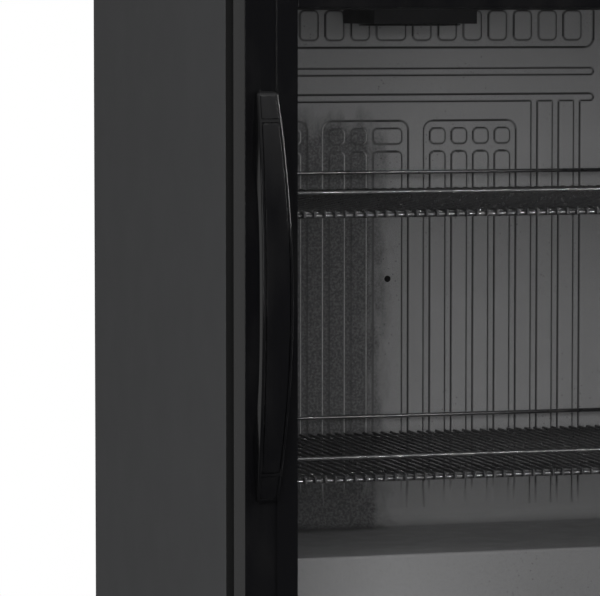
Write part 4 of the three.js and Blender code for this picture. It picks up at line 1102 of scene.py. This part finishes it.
def all_screws():
    low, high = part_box("rear_panel")
    inset, spread = 9 * MM, 140 * MM
    heights = np.linspace(low.z + 30 * MM, high.z - 25 * MM, 5)
    places = [(x, z) for x in (low.x + inset, high.x - inset) for z in heights]
    places += [(x, high.z - inset) for x in (-spread, 0, spread)]
    screws("rear_panel_screws", [(x, high.y, z) for x, z in places], (0, 1, 0))
    low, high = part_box("plinth_grille")
    inset, middle = 11 * MM, (low.z + high.z) / 2
    screws("plinth_screws", [(x, low.y, middle) for x in (low.x + inset, high.x - inset)], (0, -1, 0))


def button_marks():
    """Raised generic signs: two arrows and a dot."""
    for name, sides, share, turned_by in (
            ("up", 3, 0.27, QUARTER), ("down", 3, 0.27, -QUARTER), ("set", 20, 0.17, 0)):
        low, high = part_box("button_" + name)
        centre = middle_of("button_" + name)
        across = Vector((math.cos(turned_by), 0, math.sin(turned_by)))
        up = Vector((-across.z, 0, across.x))
        mark = Shape()
        mark.loft([
            hoop(Vector((centre.x, y, centre.z)), share * (high.x - low.x), across, up, sides)
            for y in (low.y - 0.15 * MM, low.y + 0.1 * MM)])
        mark.piece("mark_" + name, name + "_button", "white_moulding")


# ---- Stage, light and camera ----
AMBIENT = 0.30
MIRRORED_BEHIND = 0.18  # what the sides reflect


def white_surroundings():
    """White to the camera and soft grey as light; reflections see dark in front and grey behind."""
    world = bpy.data.worlds.new("surroundings")
    bpy.context.scene.world = world
    world.use_nodes = True
    sky = Tree(world.node_tree)
    sky.tree.nodes.clear()
    direction = sky.node("ShaderNodeTexCoord").outputs["Generated"]
    overhead = sky.level(sky.part_of(direction, "Z"), 0.25, 0.7, (0.02, 0.45))
    behind = sky.level(sky.part_of(direction, "Y"), 0.3, 0.8, (0.0, MIRRORED_BEHIND))
    brightest = sky.combine("MAXIMUM", overhead, behind)
    mirrored = sky.node("ShaderNodeBackground", {"Strength": brightest}).outputs[0]
    ambient = sky.node("ShaderNodeBackground", {"Color": WHITE, "Strength": AMBIENT}).outputs[0]
    seen = sky.node("ShaderNodeBackground", {"Color": WHITE, "Strength": 1.0}).outputs[0]
    ray = sky.node("ShaderNodeLightPath").outputs
    light = sky.mix(ray["Is Glossy Ray"], ambient, mirrored)
    sky.node("ShaderNodeOutputWorld", {"Surface": sky.mix(ray["Is Camera Ray"], light, seen)})


FLOOR_RADIUS, FLOOR_DROP, FADE_FROM = 1.15, 0.5 * MM, 0.55


def pale_floor():
    """A round pale floor that fades into the white surroundings and looks dark in reflections."""
    bpy.ops.mesh.primitive_circle_add(
        vertices=96, radius=FLOOR_RADIUS, fill_type="NGON", location=(0, 0, -FLOOR_DROP))
    floor = bpy.context.object
    floor.name = "studio_floor"
    material = new_material("studio_floor")
    paper = Finish(material, (0.8, 0.8, 0.8), 0.7)
    where = paper.node("ShaderNodeNewGeometry").outputs["Position"]
    reach = paper.node("ShaderNodeVectorMath", {0: where}, operation="LENGTH").outputs["Value"]
    fade = paper.level(reach, FLOOR_RADIUS * FADE_FROM, FLOOR_RADIUS, interpolation_type="SMOOTHSTEP")
    clear = paper.node("ShaderNodeBsdfTransparent").outputs[0]
    surface = paper.mix(fade, paper.shader.outputs[0], clear)
    paper.feed(paper.tree.nodes["Material Output"], {"Surface": surface})
    floor.data.materials.append(material)
    floor.visible_glossy = False


def softbox(name, azimuth, elevation, distance, size, power, aim=(0, 0, 0.45), mirrored=True):
    """A soft rectangular light round the object; azimuth 0 is in front of the door, positive to +X."""
    data = bpy.data.lights.new(name, "AREA")
    data.shape = "RECTANGLE"
    data.size, data.size_y = size
    data.energy = power
    lamp = bpy.data.objects.new(name, data)
    bpy.context.scene.collection.objects.link(lamp)
    a, e = math.radians(azimuth), math.radians(elevation)
    away = Vector((math.sin(a) * math.cos(e), -math.cos(a) * math.cos(e), math.sin(e)))
    lamp.location = Vector(aim) + away * distance
    lamp.rotation_euler = away.to_track_quat("Z", "Y").to_euler()
    lamp.visible_glossy = mirrored
    return lamp


def only_for(lamp, pieces):
    """The lamp lights these pieces alone, as a flagged studio lamp does."""
    lit = bpy.data.collections.new(lamp.name + "_lit")
    for piece in pieces:
        lit.objects.link(piece)
    lamp.light_linking.receiver_collection = lit


def inside_lamp():
    """The glow of the lamp under the ceiling, aimed at the back wall."""
    low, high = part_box("lamp_cover")
    under = Vector(((low.x + high.x) / 2, high.y, low.z - 4 * MM))
    glow = softbox("inside_lamp", 0, 50, 0.001, (high.x - low.x, 12 * MM), 0.22, aim=under, mirrored=False)
    glow.location = under


def lights(shelves):
    softbox("key", -22, 12, 3.4, (1.3, 1.6), 75, mirrored=False)
    softbox("fill", 40, 16, 3.2, (1.2, 1.6), 40, mirrored=False)
    softbox("overhead", -10, 72, 2.6, (1.8, 1.4), 28, mirrored=False)
    softbox("rear", 165, 25, 3.2, (1.8, 1.6), 60, mirrored=False)
    softbox("high_front", 16, 50, 3.0, (1.2, 0.7), 3)
    softbox("right_strip", 56, 14, 2.8, (0.24, 1.3), 34, aim=(0, 0, 0.98))
    softbox("left_strip", -62, 4, 2.8, (0.14, 1.2), 5, aim=(0, 0, 0.6))
    only_for(softbox("shelf_light", 17, 14, 2.8, (0.7, 0.5), 85), shelves)
    inside_lamp()


def camera():
    data = bpy.data.cameras.new("camera")
    data.lens, data.sensor_width = 237.9, 36.0
    viewer = bpy.data.objects.new("camera", data)
    bpy.context.scene.collection.objects.link(viewer)
    yaw, pitch = math.radians(16.09), math.radians(4.176)
    viewer.location = (-1.2456, -3.7356, 0.7613)
    viewer.rotation_euler = (QUARTER - pitch, 0, -yaw)
    bpy.context.scene.camera = viewer
    bpy.context.scene.view_settings.view_transform = "Standard"


finish_cad_nodes()
liner_shell()
liner_ledges()
liner_plug()
shelves = [wire_shelf("shelf_upper", "upper_shelf"), wire_shelf("shelf_lower", "lower_shelf")]
handle()
door_seal()
condenser()
compressor()
fan()
fan_grille()
cord()
for corner in ("front_left", "front_right", "rear_left", "rear_right"):
    foot(corner)
all_screws()
button_marks()
white_surroundings()
pale_floor()
lights(shelves)
camera()
